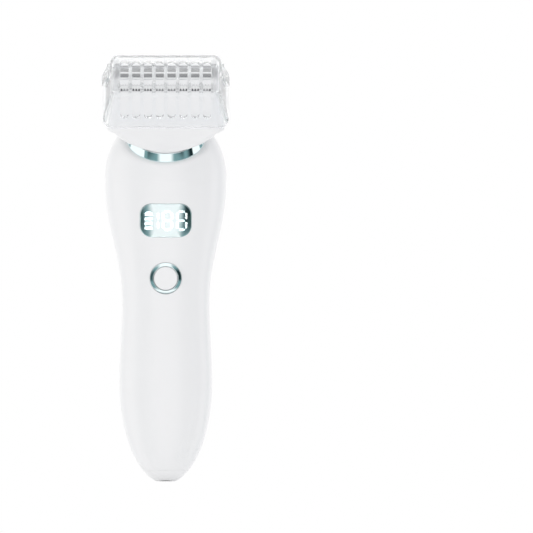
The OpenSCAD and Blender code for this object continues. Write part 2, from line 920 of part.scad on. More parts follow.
module head_clip() {
    color(steel) in_neck() translate([0, 0, clip_z]) rotate([0, 0, 30])
        rotate_extrude(angle = 300) translate([spigot_r + 0.6, 0]) circle(r = 0.45, $fn = 16);
}

// ---------------------------------------------------------------- drive bridge

guide_x = 18.2;
guide_t = 2;
guide_screw_y = 3.4;
rod_r = 1;
rod_y = 6.6;
rod_z = base_floor + 4.8;
foot_t = 1.2;
bridge_w = 31;
bridge_d = 17;
bridge_low = rod_z + 1.6;
bridge_t = 1.4;
bridge_high = bridge_low + bridge_t;
lug_x = 10.5;
slot_half = 2 * stroke + drive_pin_r + 0.25;
post_x = 10;
post_r = 1.2;
blade_low = bridge_high + 2.8;
blade_axis = cap_top - 5.7;
foil_r = foil_w / 2 + 0.4;
blade_r = foil_r - 0.45;
blade_len = 32;
blade_bar_t = blade_axis - blade_low + 0.6;
fin_pitch = 1.35;
fin_t = 0.5;

module guide_bracket(x) {
    height = rod_z + 1.8 - base_floor;
    difference() {
        union() {
            translate([x - guide_t / 2, -rod_y - 2, base_floor]) cube([guide_t, 2 * rod_y + 4, height]);
            translate([x - guide_t / 2 - 0.6, -guide_screw_y - 1.8, base_floor])
                cube([guide_t + 1.2, 2 * guide_screw_y + 3.6, foot_t]);
        }
        for (sy = [-1, 1]) {
            translate([x, sy * guide_screw_y, base_floor - 1]) cylinder(r = 0.85, h = 4);
            translate([x, sy * guide_screw_y, base_floor + foot_t]) cylinder(r = 1.6, h = 3);
        }
        translate([x - 3, -1.8, base_floor + foot_t + 1]) cube([6, 3.6, 10]);
    }
}

module fork_guide() {
    color(steel) in_neck() {
        guide_bracket(-guide_x);
        guide_bracket(guide_x);
        for (sy = [-1, 1]) {
            translate([-guide_x - guide_t / 2, sy * rod_y, rod_z])
                rotate([0, 90, 0]) cylinder(r = rod_r, h = 2 * guide_x + guide_t);
        }
    }
}

module head_screws() {
    color(steel) in_neck() for (sx = [-1, 1], sy = [-1, 1]) {
        translate([sx * guide_x, sy * guide_screw_y, base_floor + foot_t]) difference() {
            union() {
                cylinder(r = 1.4, h = 0.9);
                translate([0, 0, -foot_t - 1.2]) cylinder(r = 0.68, h = foot_t + 1.3);
            }
            for (a = [0, 90]) rotate(a) translate([-0.9, -0.16, 0.45]) cube([1.8, 0.32, 1]);
        }
    }
}

module drive_fork() {
    color([0.2, 0.45, 0.55]) in_neck() difference() {
        union() {
            translate([-bridge_w / 2, -bridge_d / 2, bridge_low]) cube([bridge_w, bridge_d, bridge_t]);
            for (sx = [-1, 1], sy = [-1, 1]) {
                translate([sx * lug_x - 2, sy * rod_y - 1.9, rod_z - 1.8])
                    cube([4, 3.8, bridge_low - rod_z + 1.9]);
            }
            translate([-slot_half - 1.6, -3, rod_z - 2.4])
                cube([2 * slot_half + 3.2, 6, bridge_low - rod_z + 2.5]);
            for (s = [-1, 1]) {
                translate([s * post_x, foil_y, bridge_high - 0.1])
                    cylinder(r = post_r, h = blade_low - bridge_high + 2.4);
            }
            translate([-3, -trimmer_y - 0.9, bridge_high - 0.1])
                cube([6, 1.8, frame_top - 0.8 - bridge_high]);
        }
        for (sy = [-1, 1]) {
            translate([-bridge_w, sy * rod_y, rod_z])
                rotate([0, 90, 0]) cylinder(r = rod_r + fit, h = 2 * bridge_w);
        }
        translate([-slot_half, -4, rod_z - 4]) cube([2 * slot_half, 8, pin_top - rod_z + 4.6]);
        for (s = [-1, 1]) {
            translate([s * 10.5 - 2.5, -2, bridge_low - 1]) cube([5, 3.6, 4]);
        }
    }
}

// Finned cutter block that runs under the foil
module inner_blade() {
    fin_count = floor(blade_len / fin_pitch);
    color(steel) in_neck() difference() {
        union() {
            translate([-blade_len / 2, foil_y - 1.8, blade_low]) cube([blade_len, 3.6, blade_bar_t]);
            intersection() {
                for (k = [0 : fin_count]) {
                    translate([-fin_count * fin_pitch / 2 + k * fin_pitch - fin_t / 2, foil_y, blade_axis])
                        rotate([0, 90, 0]) cylinder(r = blade_r, h = fin_t);
                }
                translate([-30, foil_y - 10, blade_axis - 0.2]) cube([60, 20, 10]);
            }
        }
        for (s = [-1, 1]) {
            translate([s * post_x, foil_y, blade_low - 1]) cylinder(r = post_r + 0.1, h = 4.6);
        }
    }
}

module blade_springs() {
    color(steel) in_neck() for (s = [-1, 1]) {
        translate([s * post_x, foil_y, bridge_high]) coil(post_r + 0.5, 0.22, blade_low - bridge_high, 3);
    }
}

comb_t = 0.5;
comb_len = 36.6;
comb_d = 3.8;
trim_len = 32.6;
trim_t = 0.6;
tooth_pitch = 1.1;
tooth_gap = 0.55;
tooth_len = 0.9;
comb_low = frame_top;
trim_slot_len = 35;

// Plate with tooth gaps cut into both long edges at the given places
module toothed_plate(len, depth, t, gap_w, places) {
    difference() {
        translate([-len / 2, -depth / 2, 0]) cube([len, depth, t]);
        for (x = places, s = [-1, 1]) {
            translate([x - gap_w / 2, s * depth / 2 - tooth_len, -1]) cube([gap_w, 2 * tooth_len, t + 2]);
        }
    }
}

module trimmer_blade() {
    count = floor((trim_len - 3) / tooth_pitch);
    places = [for (k = [0 : count - 1]) (k - (count - 1) / 2) * tooth_pitch];
    color(steel) in_neck() translate([0, -trimmer_y, comb_low - 0.15 - trim_t])
        toothed_plate(trim_len, comb_d - 0.6, trim_t, tooth_gap + 0.15, places);
}

// The comb's gaps stand in groups of three, one group under each slot of the cap
module trimmer_comb() {
    last = (slot_count - 1) / 2;
    places = [for (k = [-last : last], j = [-1 : 1]) k * slot_pitch + j * tooth_pitch];
    color([0.86, 0.87, 0.88]) in_neck() translate([0, -trimmer_y, comb_low])
        toothed_plate(comb_len, comb_d, comb_t, tooth_gap, places);
}

// ---------------------------------------------------------------- foil frame, foil and cap

carrier_len = 37.4;
carrier_d = foil_w + 1.6;
carrier_low = blade_axis - 0.1;
carrier_t = 2.2;
ledge_z = carrier_low - 2.6;
foil_len = 35.8;
foil_t = 0.15;
slide_gap = 0.25;

guide_block = [1.3, 0.5, 1.2];
module foil_frame() {
    inset = 2 * frame_wall;
    window_low = carrier_low - float_travel - slide_gap;
    color(white) in_neck() {
        difference() {
            loft([
                rounded_ring(frame_w, frame_d, frame_corner, frame_low),
                rounded_ring(frame_top_w + 0.8, frame_d - 0.4, frame_corner, frame_top - 0.8),
                rounded_ring(frame_top_w - 0.6, frame_d - 1.8, frame_corner - 0.6, frame_top)
            ]);
            loft([
                rounded_ring(frame_w - inset, frame_d - inset, frame_corner - 1, frame_low - 1),
                rounded_ring(
                    frame_top_w - inset + 0.4, frame_d - inset - 0.4, frame_corner - 1, frame_top - 1.6
                )
            ]);
            translate([-carrier_len / 2 - slide_gap, foil_y - carrier_d / 2 - slide_gap, window_low])
                cube([carrier_len + 2 * slide_gap, carrier_d + 2 * slide_gap, 10]);
            translate([-trim_slot_len / 2, -trimmer_y - comb_d / 2 + 0.1, frame_top - 3])
                cube([trim_slot_len, comb_d - 0.2, 6]);
        }
        for (s = [-1, 1]) {
            translate([s * 18.75 - 1.15, foil_y - 2, ledge_z - 1]) cube([2.3, 4, 1]);
        }
        // Blocks on the front edge that line up with the ribs of the cap
        for (k = [0 : slot_count]) {
            translate([
                (k - slot_count / 2) * slot_pitch - guide_block[0] / 2,
                -frame_d / 2,
                frame_top - 0.8 - guide_block[2]
            ]) cube(guide_block);
        }
    }
}

module foil_carrier() {
    color([0.9, 0.91, 0.92]) in_neck() difference() {
        translate([-carrier_len / 2, foil_y - carrier_d / 2, carrier_low])
            cube([carrier_len, carrier_d, carrier_t]);
        translate([-foil_len / 2 - 0.02, foil_y - foil_w / 2 - 0.3, carrier_low - 1])
            cube([foil_len + 0.04, foil_w + 0.6, carrier_t + 2]);
    }
}

module shaver_foil() {
    color([0.62, 0.63, 0.65]) in_neck() intersection() {
        translate([-foil_len / 2, foil_y, blade_axis])
            rotate([0, 90, 0]) tube(foil_r, foil_r - foil_t, foil_len);
        translate([-30, foil_y - foil_w / 2 - 0.28, carrier_low + 0.1]) cube([60, foil_w + 0.56, 10]);
    }
}

module foil_springs() {
    color(steel) in_neck() for (s = [-1, 1]) {
        translate([s * 18.2, foil_y, ledge_z]) coil(0.55, 0.18, carrier_low - ledge_z, 3);
    }
}

// Width of the cap's tapering side walls at height h
function cap_width(h) = cap_w + (cap_top_w - cap_w) * (h - cap_low) / cap_h;
cap_edge_r = 1.2;
cap_side_r = 3.6;
cap_steps = 5;
// Rings of the cap's outer skin, or of its hollow when inset is twice the wall
function cap_rings(inset) =
    let (r = cap_side_r - inset / 2, low = cap_low - (inset > 0 ? 1 : 0))
    concat(
        [rounded_ring(cap_width(cap_low) - inset, cap_d - inset, r, low)],
        [
            for (k = [0 : cap_steps])
                let (
                    t = 90 * k / cap_steps,
                    c = (cap_edge_r - inset / 4) * (1 - cos(t)),
                    h = cap_top - cap_edge_r + (cap_edge_r - inset / 4) * sin(t) - inset / 4
                )
                rounded_ring(cap_width(cap_top) - inset - 2 * c, cap_d - inset - 2 * c, r - c * 0.6, h)
        ]
    );

// Outline of the cap seen from the front, with all four corners rounded
module cap_outline() {
    top = cap_top_w / 2;
    bottom = cap_w / 2;
    rotate([90, 0, 0]) linear_extrude(height = 60, center = true) hull() {
        for (s = [-1, 1]) {
            translate([s * (top - cap_corner), cap_top - cap_corner]) circle(r = cap_corner, $fn = 32);
            translate([s * (bottom - cap_corner), cap_low + cap_corner]) circle(r = cap_corner, $fn = 32);
        }
    }
}

slot_end_z = cap_low + 6.3;
slot_back_y = 8.2;
module comb_slot(x) {
    hull() {
        translate([x, -cap_d, slot_end_z])
            rotate([-90, 0, 0]) cylinder(r = slot_w / 2, h = cap_d * 0.75, $fn = 24);
        translate([x - slot_w / 2, -cap_d, cap_top - 3]) cube([slot_w, cap_d * 0.75, 5]);
    }
    hull() {
        translate([x - slot_w / 2, -cap_d, cap_top - 3]) cube([slot_w, 1, 5]);
        translate([x, slot_back_y - slot_w / 2, cap_top - 3]) cylinder(r = slot_w / 2, h = 5, $fn = 24);
    }
}

tab_h = 5;
tab_top = cap_top - 2.6;
module comb_cap() {
    color([0.93, 0.95, 0.96, 0.4]) in_neck() {
        difference() {
            intersection() {
                loft(cap_rings(0));
                cap_outline();
            }
            loft(cap_rings(2 * cap_wall));
            for (k = [0 : slot_count - 1]) comb_slot((k - (slot_count - 1) / 2) * slot_pitch);
        }
        for (s = [-1, 1]) {
            x = cap_width(cap_top - 4) / 2 - 0.4;
            tab_low = tab_top - tab_h;
            hull() {
                translate([s * x, 1, tab_top])
                    rotate([-90, 0, 0]) cylinder(r = 0.5, h = 8, $fn = 24);
                translate([s * (x + 1.6), 2, tab_low])
                    rotate([-90, 0, 0]) cylinder(r = 0.7, h = 6, $fn = 24);
            }
        }
    }
}

front_shell();
rear_shell();
tail_cap();
collar_ring();
neck_plate();
neck_gasket();
shaft_seal();
display_window();
display_icons();
display_module();
button_ring();
button_seal();
power_button();
switch_plunger();
tact_switch();
main_pcb();
pcb_components();
pcb_screws();
chassis();
battery_cell();
battery_tabs();
battery_pad();
charging_socket();
charging_pin();
socket_seal();
motor();
motor_cap();
motor_holder();
motor_shaft();
eccentric();
battery_leads();
motor_leads();
head_base();
head_clip();
fork_guide();
head_screws();
drive_fork();
inner_blade();
blade_springs();
trimmer_blade();
foil_frame();
trimmer_comb();
foil_carrier();
shaver_foil();
foil_springs();
comb_cap();
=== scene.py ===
"""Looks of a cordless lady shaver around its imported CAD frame: smooth shells, chrome trim,
a tinted display lens, a perforated foil and a clear comb cap, in soft white studio light."""

import json
import math

import bmesh
import bpy
from mathutils import Matrix, Vector


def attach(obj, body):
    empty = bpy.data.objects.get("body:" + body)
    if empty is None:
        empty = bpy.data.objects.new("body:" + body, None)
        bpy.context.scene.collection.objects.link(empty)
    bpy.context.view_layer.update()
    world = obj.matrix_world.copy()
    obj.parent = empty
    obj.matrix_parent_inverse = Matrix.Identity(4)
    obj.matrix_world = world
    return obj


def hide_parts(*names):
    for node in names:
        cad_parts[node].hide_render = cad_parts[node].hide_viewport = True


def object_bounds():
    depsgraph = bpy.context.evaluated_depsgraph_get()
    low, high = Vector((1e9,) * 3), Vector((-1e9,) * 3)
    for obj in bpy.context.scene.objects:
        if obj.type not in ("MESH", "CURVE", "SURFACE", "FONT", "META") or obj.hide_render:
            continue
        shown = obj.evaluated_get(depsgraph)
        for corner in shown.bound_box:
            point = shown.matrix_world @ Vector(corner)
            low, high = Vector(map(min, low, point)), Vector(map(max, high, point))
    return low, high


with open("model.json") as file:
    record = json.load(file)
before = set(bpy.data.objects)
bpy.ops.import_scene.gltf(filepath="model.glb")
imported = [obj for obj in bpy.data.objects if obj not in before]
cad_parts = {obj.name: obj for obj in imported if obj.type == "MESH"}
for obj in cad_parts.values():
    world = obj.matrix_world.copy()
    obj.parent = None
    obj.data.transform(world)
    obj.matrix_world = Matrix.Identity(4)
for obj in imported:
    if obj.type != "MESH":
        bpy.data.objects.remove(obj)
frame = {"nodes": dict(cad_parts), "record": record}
cad_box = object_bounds()

MM = 0.001

# ------------------------------------------------------------------ driving sizes, in mm
BULGE = (36.0, 30.0)      # width and depth of the lower grip
WAIST = (33.9, 28.4)
CHEST = (47.0, 41.0)
BULGE_Z, WAIST_Z, BEND_Z = 38.0, 70.0, 105.0
CHEST_Z = BEND_Z + 10.4
TAIL_CUT = 0.8
WALL = 2.0
SPINE_DRIFT = 1.0
SKIN_POWER = 2.25
NECK_TILT = math.radians(37)
NECK_Y, NECK_Z = 6.0, 132.7
NECK_R = 13.4
COLLAR_H, COLLAR_W = 3.3, 1.45
COLLAR_BORE = NECK_R + 0.3
COLLAR_R = COLLAR_BORE + COLLAR_W
SEAT_R = COLLAR_R + 0.75
MOUTH_R = NECK_R - 0.65
SOCKET_HOLE_R = 3.5
SHOULDER_START = 0.5
SEAM_GAP = 0.05
TAIL_CAP_TOP, TAIL_CAP_GAP = 4.2, 0.03
BUTTON_Z, BUTTON_R, BUTTON_RING_R = 78.7, 4.65, 6.1
DISPLAY_Z, DISPLAY_W, DISPLAY_H, DISPLAY_R = 101.1, 20.0, 13.1, 4.6
CAP_W, CAP_TOP_W, CAP_D, CAP_H = 49.8, 43.8, 24.9, 17.2
CAP_WALL, CAP_CORNER, CAP_EDGE_R, CAP_SIDE_R = 1.3, 4.0, 1.2, 3.6
CAP_LOW = 14.8
CAP_TOP = CAP_LOW + CAP_H
SLOT_COUNT, SLOT_W, SLOT_PITCH = 8, 3.2, 4.58
SLOT_END_Z, SLOT_BACK_Y = CAP_LOW + 6.3, 8.2
FRAME_W = CAP_W - 2 * CAP_WALL - 1.6
FRAME_TOP_W = CAP_TOP_W - 2 * CAP_WALL - 1.2
FRAME_D = CAP_D - 2 * CAP_WALL - 1.5
FRAME_CORNER, FRAME_WALL = 3.4, 1.4
FRAME_LOW, FRAME_TOP = CAP_LOW - 0.1, CAP_TOP - 3
BASE_TOP = CAP_LOW - 0.2
BASE_FLOOR = BASE_TOP - 3.2
FLARE_LOW, FLARE_HIGH = 3.5, 11.0
FOIL_W, FOIL_Y, TRIMMER_Y = 7.0, 4.3, 5.6
BLADE_AXIS = CAP_TOP - 5.7
FOIL_R = FOIL_W / 2 + 0.4
FOIL_LEN = 35.8
CARRIER_LEN, CARRIER_D = 37.4, FOIL_W + 1.6
TRIMMER_LEN, TRIMMER_D = 35.0, 3.6


# ------------------------------------------------------------------ handle skin
def ease(t):
    return (1 - math.cos(math.pi * min(max(t, 0), 1))) / 2


def blend(a, b, t):
    return a + (b - a) * ease(t)


def half_size(z, axis):
    """Half the handle's width (axis 0) or depth (axis 1) at height z."""
    bulge, waist, chest = BULGE[axis], WAIST[axis], CHEST[axis]
    if z < BULGE_Z:
        return bulge / 2 * math.sqrt(1 - (1 - (z + TAIL_CUT) / (BULGE_Z + TAIL_CUT)) ** 2)
    if z < WAIST_Z:
        return blend(bulge, waist, (z - BULGE_Z) / (WAIST_Z - BULGE_Z)) / 2
    return blend(waist, chest, (z - WAIST_Z) / (CHEST_Z - WAIST_Z)) / 2


def centre_y(z):
    return blend(0, SPINE_DRIFT, (z - WAIST_Z) / (BEND_Z - WAIST_Z))


def skin_y(x, z):
    """Height of the front face: y of the outer skin at (x, z) on the straight part."""
    w, d = half_size(z, 0), half_size(z, 1)
    return centre_y(z) - d * (1 - (abs(x) / w) ** SKIN_POWER) ** (1 / SKIN_POWER)


NECK_AXIS = Vector((-math.sin(NECK_TILT), math.cos(NECK_TILT)))
SPINE = [
    Vector((SPINE_DRIFT, BEND_Z)),
    Vector((SPINE_DRIFT, BEND_Z + 10)),
    Vector((-NECK_Y, NECK_Z)) - 13 * NECK_AXIS,
    Vector((-NECK_Y, NECK_Z)),
]


def skin_ring(centre, tilt, w, d, power, sides):
    """Points of one closed section of the handle."""
    points = []
    for k in range(sides):
        t = 2 * math.pi * k / sides
        c, s = math.cos(t), math.sin(t)
        x = w * math.copysign(abs(c) ** (2 / power), c)
        v = d * math.copysign(abs(s) ** (2 / power), s)
        points.append(Vector((x, centre[0] + v * math.cos(tilt), centre[1] + v * math.sin(tilt))))
    return points


def grip_section(z, sides):
    return skin_ring((centre_y(z), z), 0, half_size(z, 0), half_size(z, 1), SKIN_POWER, sides)


def bend_section(u, sides):
    a, b, c, d = SPINE
    p = (1 - u) ** 3 * a + 3 * u * (1 - u) ** 2 * b + 3 * u * u * (1 - u) * c + u ** 3 * d
    slope = (1 - u) ** 2 * (b - a) + 2 * u * (1 - u) * (c - b) + u * u * (d - c)
    q = max(0, (u - SHOULDER_START) / (1 - SHOULDER_START))
    s = math.sqrt(max(0, 1 - q * q))
    w = SEAT_R + (half_size(p[1], 0) - SEAT_R) * s
    depth = SEAT_R + (half_size(p[1], 1) - SEAT_R) * s
    power = SKIN_POWER - (SKIN_POWER - 2) * min(1, max(0, (p[1] - BEND_Z) / 25))
    return skin_ring(p, math.atan2(-slope[0], slope[1]), w, depth, power, sides)


def handle_sections(sides):
    """All sections from the tip of the tail up to the hole in the collar seat."""
    tail, grip, bend, shoulder = 26, 60, 10, 26
    rings = [grip_section(BULGE_Z * (1 - math.cos(math.pi / 2 * k / tail)), sides) for k in range(tail + 1)]
    rings += [grip_section(BULGE_Z + (BEND_Z - BULGE_Z) * k / grip, sides) for k in range(1, grip + 1)]
    rings += [bend_section(SHOULDER_START * k / bend, sides) for k in range(1, bend + 1)]
    for k in range(1, shoulder + 1):
        u = SHOULDER_START + (1 - SHOULDER_START) * math.sin(math.pi / 2 * k / shoulder)
        rings.append(bend_section(u, sides))
    seat = (-NECK_Y, NECK_Z)
    for r in (SEAT_R - 1.2, MOUTH_R):
        rings.append(skin_ring(seat, NECK_TILT, r, r, 2, sides))
    return rings


# ------------------------------------------------------------------ frames of reference
TO_NECK = Matrix.Translation((0, -NECK_Y, NECK_Z)) @ Matrix.Rotation(NECK_TILT, 4, "X")
FACE_TILT = math.atan((skin_y(0, BUTTON_Z) - skin_y(0, DISPLAY_Z)) / (DISPLAY_Z - BUTTON_Z))
FACE_ORIGIN = (0, skin_y(0, BUTTON_Z), BUTTON_Z)
TO_FACE = Matrix.Translation(FACE_ORIGIN) @ Matrix.Rotation(math.pi / 2 + FACE_TILT, 4, "X")
DISPLAY_UP = (DISPLAY_Z - BUTTON_Z) / math.cos(FACE_TILT)


# ------------------------------------------------------------------ mesh helpers, all in mm until placed
def link_mesh(bm, name):
    """Turns a bmesh into an object in the scene."""
    mesh = bpy.data.meshes.new(name)
    bm.to_mesh(mesh)
    bm.free()
    obj = bpy.data.objects.new(name, mesh)
    bpy.context.scene.collection.objects.link(obj)
    return obj


def mark_smooth(bm, smooth_angle):
    """Smooth faces, with edges sharper than the angle kept crisp."""
    limit = math.radians(smooth_angle)
    for face in bm.faces:
        face.smooth = True
    for edge in bm.edges:
        edge.smooth = len(edge.link_faces) == 2 and edge.calc_face_angle(0) < limit


def place(bm, name, matrix=Matrix.Identity(4), smooth_angle=35):
    """Turns a bmesh in mm into an object in metres, with smooth faces and sharp real edges."""
    bm.transform(Matrix.Scale(MM, 4) @ matrix)
    bmesh.ops.recalc_face_normals(bm, faces=bm.faces)
    mark_smooth(bm, smooth_angle)
    return link_mesh(bm, name)


def resmooth(obj, smooth_angle=35):
    bm = bmesh.new()
    bm.from_mesh(obj.data)
    mark_smooth(bm, smooth_angle)
    bm.to_mesh(obj.data)
    bm.free()


def skin(bm, rings, closed_ends=False, loop=False):
    """Joins rings of points with quads; loop also joins the last ring to the first."""
    rows = [[bm.verts.new(p) for p in ring] for ring in rings]
    pairs = list(zip(rows, rows[1:]))
    if loop:
        pairs.append((rows[-1], rows[0]))
    for low, high in pairs:
        n = len(low)
        for k in range(n):
            bm.faces.new((low[k], low[(k + 1) % n], high[(k + 1) % n], high[k]))
    if closed_ends:
        bm.faces.new(rows[0])
        bm.faces.new(rows[-1])
    return rows


def lathe(name, profile, matrix, sides=128, smooth_angle=35):
    """Turned piece from a closed profile of (radius, height) points; radius 0 closes on the axis."""
    bm = bmesh.new()
    rings = []
    for r, h in profile:
        r = max(r, 1e-4)
        rings.append([
            Vector((r * math.cos(2 * math.pi * k / sides), r * math.sin(2 * math.pi * k / sides), h))
            for k in range(sides)
        ])
    hollow = min(r for r, h in profile) > 0.01
    skin(bm, rings, loop=hollow)
    if not hollow:
        bmesh.ops.remove_doubles(bm, verts=bm.verts, dist=1e-3)
    return place(bm, name, matrix, smooth_angle)


def arc(cx, cy, r, start, end, steps):
    """Points of an arc, angles in degrees."""
    return [
        (cx + r * math.cos(math.radians(start + (end - start) * k / steps)),
         cy + r * math.sin(math.radians(start + (end - start) * k / steps)))
        for k in range(steps + 1)
    ]


def rounded_outline(w, d, r, steps=8):
    """Counter-clockwise points round a rounded rectangle."""
    r = min(r, w / 2 - 1e-3, d / 2 - 1e-3)
    points = []
    for q, (sx, sy) in enumerate(((1, 1), (-1, 1), (-1, -1), (1, -1))):
        points += arc(sx * (w / 2 - r), sy * (d / 2 - r), r, 90 * q, 90 * q + 90, steps)
    return points


def rounded_ring(w, d, r, h, steps=8):
    return [Vector((x, y, h)) for x, y in rounded_outline(w, d, r, steps)]


def prism(name, outline, low, high, matrix):
    """Straight cutter from an outline in x and y."""
    bm = bmesh.new()
    skin(bm, [[Vector((x, y, h)) for x, y in outline] for h in (low, high)], closed_ends=True)
    return place(bm, name, matrix)


def carve(obj, cutters, operation="DIFFERENCE", smooth_angle=35):
    """Boolean with each cutter, applied to the mesh; the cutters are deleted."""
    for cutter in cutters:
        mod = obj.modifiers.new("cut", "BOOLEAN")
        mod.operation = operation
        mod.solver = "EXACT"
        mod.object = cutter
    apply_modifiers(obj)
    for cutter in cutters:
        bpy.data.objects.remove(cutter)
    resmooth(obj, smooth_angle)


def apply_modifiers(obj):
    depsgraph = bpy.context.evaluated_depsgraph_get()
    mesh = bpy.data.meshes.new_from_object(obj.evaluated_get(depsgraph))
    obj.modifiers.clear()
    obj.data = mesh


def soften(obj, width, segments=3, angle=35):
    """Bevel on the real edges, with the faces' own normals kept."""
    bevel = obj.modifiers.new("soften", "BEVEL")
    bevel.width = width * MM
    bevel.segments = segments
    bevel.limit_method = "ANGLE"
    bevel.angle_limit = math.radians(angle)
    bevel.harden_normals = True


def dress(obj, body, material, slot, *nodes):
    """Gives a finished piece its material and body, and hides the CAD nodes it stands for. The slot argument
    is not used.
    """
    obj.data.materials.clear()
    obj.data.materials.append(material)
    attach(obj, body)
    if nodes:
        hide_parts(*nodes)
    return obj


# ------------------------------------------------------------------ materials
class Graph:
    """Short-hand for building one node tree."""

    def __init__(self, tree):
        self.tree = tree
        tree.nodes.clear()

    def add(self, kind, inputs=None, **settings):
        node = self.tree.nodes.new(kind)
        for key, value in settings.items():
            setattr(node, key, value)
        for key, value in (inputs or {}).items():
            if isinstance(value, bpy.types.NodeSocket):
                self.tree.links.new(value, node.inputs[key])
            else:
                node.inputs[key].default_value = value
        return node

    def math(self, operation, a, b=0.0, clamp=False):
        return self.add("ShaderNodeMath", {0: a, 1: b}, operation=operation, use_clamp=clamp).outputs[0]

    def noise(self, vector, scale, detail=3.0, roughness=0.5):
        inputs = {"Vector": vector, "Scale": scale, "Detail": detail, "Roughness": roughness}
        return self.add("ShaderNodeTexNoise", inputs).outputs["Fac"]

    def span(self, value, low, high):
        """Maps 0..1 onto low..high."""
        inputs = {"Value": value, "To Min": low, "To Max": high}
        return self.add("ShaderNodeMapRange", inputs).outputs["Result"]

    def step(self, value, start, end):
        """Smooth 0..1 as value goes from start to end."""
        inputs = {"Value": value, "From Min": start, "From Max": end}
        return self.add("ShaderNodeMapRange", inputs, interpolation_type="SMOOTHSTEP").outputs["Result"]

    def mix(self, factor, a, b):
        node = self.add("ShaderNodeMix", data_type="RGBA")
        for socket, value in ((node.inputs[0], factor), (node.inputs[6], a), (node.inputs[7], b)):
            if isinstance(value, bpy.types.NodeSocket):
                self.tree.links.new(value, socket)
            else:
                socket.default_value = value
        return node.outputs[2]

    def bump(self, height, strength, distance):
        node = self.add("ShaderNodeBump", {"Height": height, "Strength": strength, "Distance": distance})
        return node.outputs["Normal"]


def new_material(name):
    material = bpy.data.materials.new(name)
    material.use_nodes = True
    graph = Graph(material.node_tree)
    coords = graph.add("ShaderNodeTexCoord").outputs["Object"]
    shader = graph.add("ShaderNodeBsdfPrincipled")
    output = graph.add("ShaderNodeOutputMaterial", {"Surface": shader.outputs["BSDF"]})
    return material, graph, coords, shader, output


def connect(graph, shader, **sockets):
    """Sets or links the shader's sockets; underscores in the names stand for spaces."""
    for key, value in sockets.items():
        socket = shader.inputs[key.replace("_", " ")]
        if isinstance(value, bpy.types.NodeSocket):
            graph.tree.links.new(value, socket)
        else:
            socket.default_value = value


def shade(color, factor):
    return (color[0] * factor, color[1] * factor, color[2] * factor, 1)


def moulded(name, color, rough=0.34, grain=1600.0, depth=0.06, coat=0.0, sheen_spread=0.05, mottle=0.985):
    """Moulded plastic: faint tone drift, uneven gloss and a fine surface texture."""
    material, g, coords, shader, _ = new_material(name)
    drift = g.noise(coords, 60.0, 2.0)
    fine = g.noise(coords, grain, 4.0, 0.6)
    connect(
        g, shader,
        Base_Color=g.mix(drift, shade(color, 1.0), shade(color, mottle)),
        Roughness=g.span(g.noise(coords, 240.0, 3.0), rough - sheen_spread, rough + sheen_spread),
        Normal=g.bump(fine, depth, 0.00005),
        Coat_Weight=coat, Coat_Roughness=0.12, IOR=1.5,
    )
    return material


def metal(name, color, rough=0.2, brush=(1.0, 1.0, 60.0), contrast=0.85, depth=0.05, scale=900.0):
    """Metal with fine brush lines along the axis whose stretch is smallest."""
    material, g, coords, shader, _ = new_material(name)
    stretched = g.add("ShaderNodeMapping", {"Vector": coords, "Scale": brush}).outputs["Vector"]
    lines = g.noise(stretched, scale, 5.0, 0.65)
    connect(
        g, shader,
        Base_Color=g.mix(lines, shade(color, contrast), shade(color, 1.0)),
        Metallic=1.0,
        Roughness=g.span(lines, rough * 0.7, rough * 1.3),
        Normal=g.bump(lines, depth, 0.00004),
    )
    return material


def chrome_material():
    material, g, coords, shader, _ = new_material("plated_chrome")
    haze = g.noise(coords, 350.0, 4.0)
    connect(
        g, shader,
        Base_Color=g.mix(haze, (0.80, 0.92, 0.93, 1), (0.86, 0.95, 0.96, 1)),
        Metallic=1.0,
        Roughness=g.span(haze, 0.035, 0.085),
        Normal=g.bump(g.noise(coords, 500.0, 2.0), 0.02, 0.00005),
    )
    return material


def lens_material():
    """Half-mirror tint: nearly all reflection, with the lit icons burning through."""
    material, g, coords, shader, _ = new_material("tinted_lens")
    haze = g.noise(coords, 260.0, 3.0)
    connect(
        g, shader,
        Base_Color=g.mix(haze, (0.84, 0.95, 0.955, 1), (0.89, 0.965, 0.97, 1)),
        Metallic=1.0,
        Roughness=g.span(haze, 0.05, 0.09),
        Alpha=0.88,
        Normal=g.bump(g.noise(coords, 180.0, 2.0), 0.03, 0.0001),
    )
    return material


def lens_body_material():
    """The lens behind its coating: clear, with a trace of tint."""
    material, g, coords, shader, output = new_material("lens_body")
    tint = g.mix(g.noise(coords, 200.0), (0.93, 0.96, 0.96, 1), (0.97, 0.99, 0.99, 1))
    bare = g.add("ShaderNodeBsdfTransparent", {"Color": tint})
    connect(g, shader, Base_Color=tint, Roughness=0.1)
    body = g.add("ShaderNodeMixShader", {0: 0.03, 1: bare.outputs[0], 2: shader.outputs[0]})
    g.tree.links.new(body.outputs[0], output.inputs["Surface"])
    return material


def icon_material():
    material, g, coords, shader, _ = new_material("lit_icons")
    glow = g.noise(coords, 500.0, 2.0)
    connect(
        g, shader,
        Base_Color=(0.9, 0.95, 0.95, 1),
        Emission_Color=g.mix(glow, (0.90, 0.98, 1.0, 1), (1.0, 1.0, 1.0, 1)),
        Emission_Strength=8.5,
        Roughness=0.5,
    )
    return material


